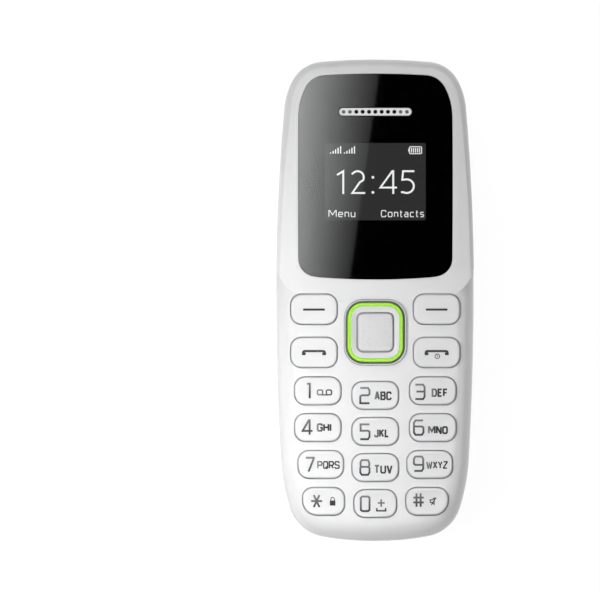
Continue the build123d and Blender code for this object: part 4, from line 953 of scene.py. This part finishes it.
def soft_box(name, place, size, power, aim, mirrored):
    """Soft lamp that the camera doesn't see, and that shiny pieces mirror only if told to."""
    data = bpy.data.lights.new(name, "AREA")
    data.shape = "RECTANGLE"
    data.size, data.size_y = size
    data.energy = power
    light = bpy.data.objects.new(name, data)
    light.location = place
    light.rotation_euler = (Vector(aim) - Vector(place)).to_track_quat("-Z", "Y").to_euler()
    light.visible_camera = False
    light.visible_glossy = mirrored
    light.visible_transmission = mirrored
    bpy.context.scene.collection.objects.link(light)


# Each lamp's name, place, size, power in watts, aim, and whether shiny pieces mirror it
MIDDLE = (0.0, 0.0, 0.0)
LAMPS = (
    ("ceiling_light", (-0.03, 0.02, 0.50), (0.40, 0.40), 0.38, (-0.03, 0.02, 0.0), True),
    ("near_light", (-0.038, -0.026, 0.062), (0.07, 0.02), 0.039, (-0.03, -0.026, 0.0), False),
    ("top_light", (-0.05, 0.26, 0.16), (0.12, 0.12), 0.26, MIDDLE, False),
    ("right_light", (0.16, -0.05, 0.08), (0.08, 0.08), 0.065, MIDDLE, False),
    ("under_light", (-0.05, 0.05, -0.35), (0.30, 0.30), 1.0, MIDDLE, True),
)
for lamp in LAMPS:
    soft_box(*lamp)

# Sky, which only lights the phone, and the white backdrop that the camera sees instead of it
SKY_LOW = 0.03
SKY_HIGH = 0.20
SKY_TOP = 0.9
PLAIN_WHITE = (1.0, 1.0, 1.0, 1.0)
world = bpy.data.worlds.new("studio")
bpy.context.scene.world = world
world.use_nodes = True
world_tree = world.node_tree
background = world_tree.nodes["Background"]
sky = world_tree.nodes.new("ShaderNodeTexCoord")
split = world_tree.nodes.new("ShaderNodeSeparateXYZ")
ramp = world_tree.nodes.new("ShaderNodeMapRange")
ramp.inputs["From Min"].default_value = 0.0
ramp.inputs["From Max"].default_value = SKY_TOP
ramp.inputs["To Min"].default_value = SKY_LOW
ramp.inputs["To Max"].default_value = SKY_HIGH
world_tree.links.new(sky.outputs["Generated"], split.inputs[0])
world_tree.links.new(split.outputs["Z"], ramp.inputs["Value"])
world_tree.links.new(ramp.outputs["Result"], background.inputs["Strength"])
background.inputs["Color"].default_value = PLAIN_WHITE
backdrop = world_tree.nodes.new("ShaderNodeBackground")
backdrop.inputs["Color"].default_value = PLAIN_WHITE
backdrop.inputs["Strength"].default_value = FLOOR_WHITE
world_paths = world_tree.nodes.new("ShaderNodeLightPath")
world_mix = world_tree.nodes.new("ShaderNodeMixShader")
world_tree.links.new(world_paths.outputs["Is Camera Ray"], world_mix.inputs[0])
world_tree.links.new(background.outputs[0], world_mix.inputs[1])
world_tree.links.new(backdrop.outputs[0], world_mix.inputs[2])
world_tree.links.new(world_mix.outputs[0], world_tree.nodes["World Output"].inputs["Surface"])

bpy.context.scene.view_settings.view_transform = "Standard"
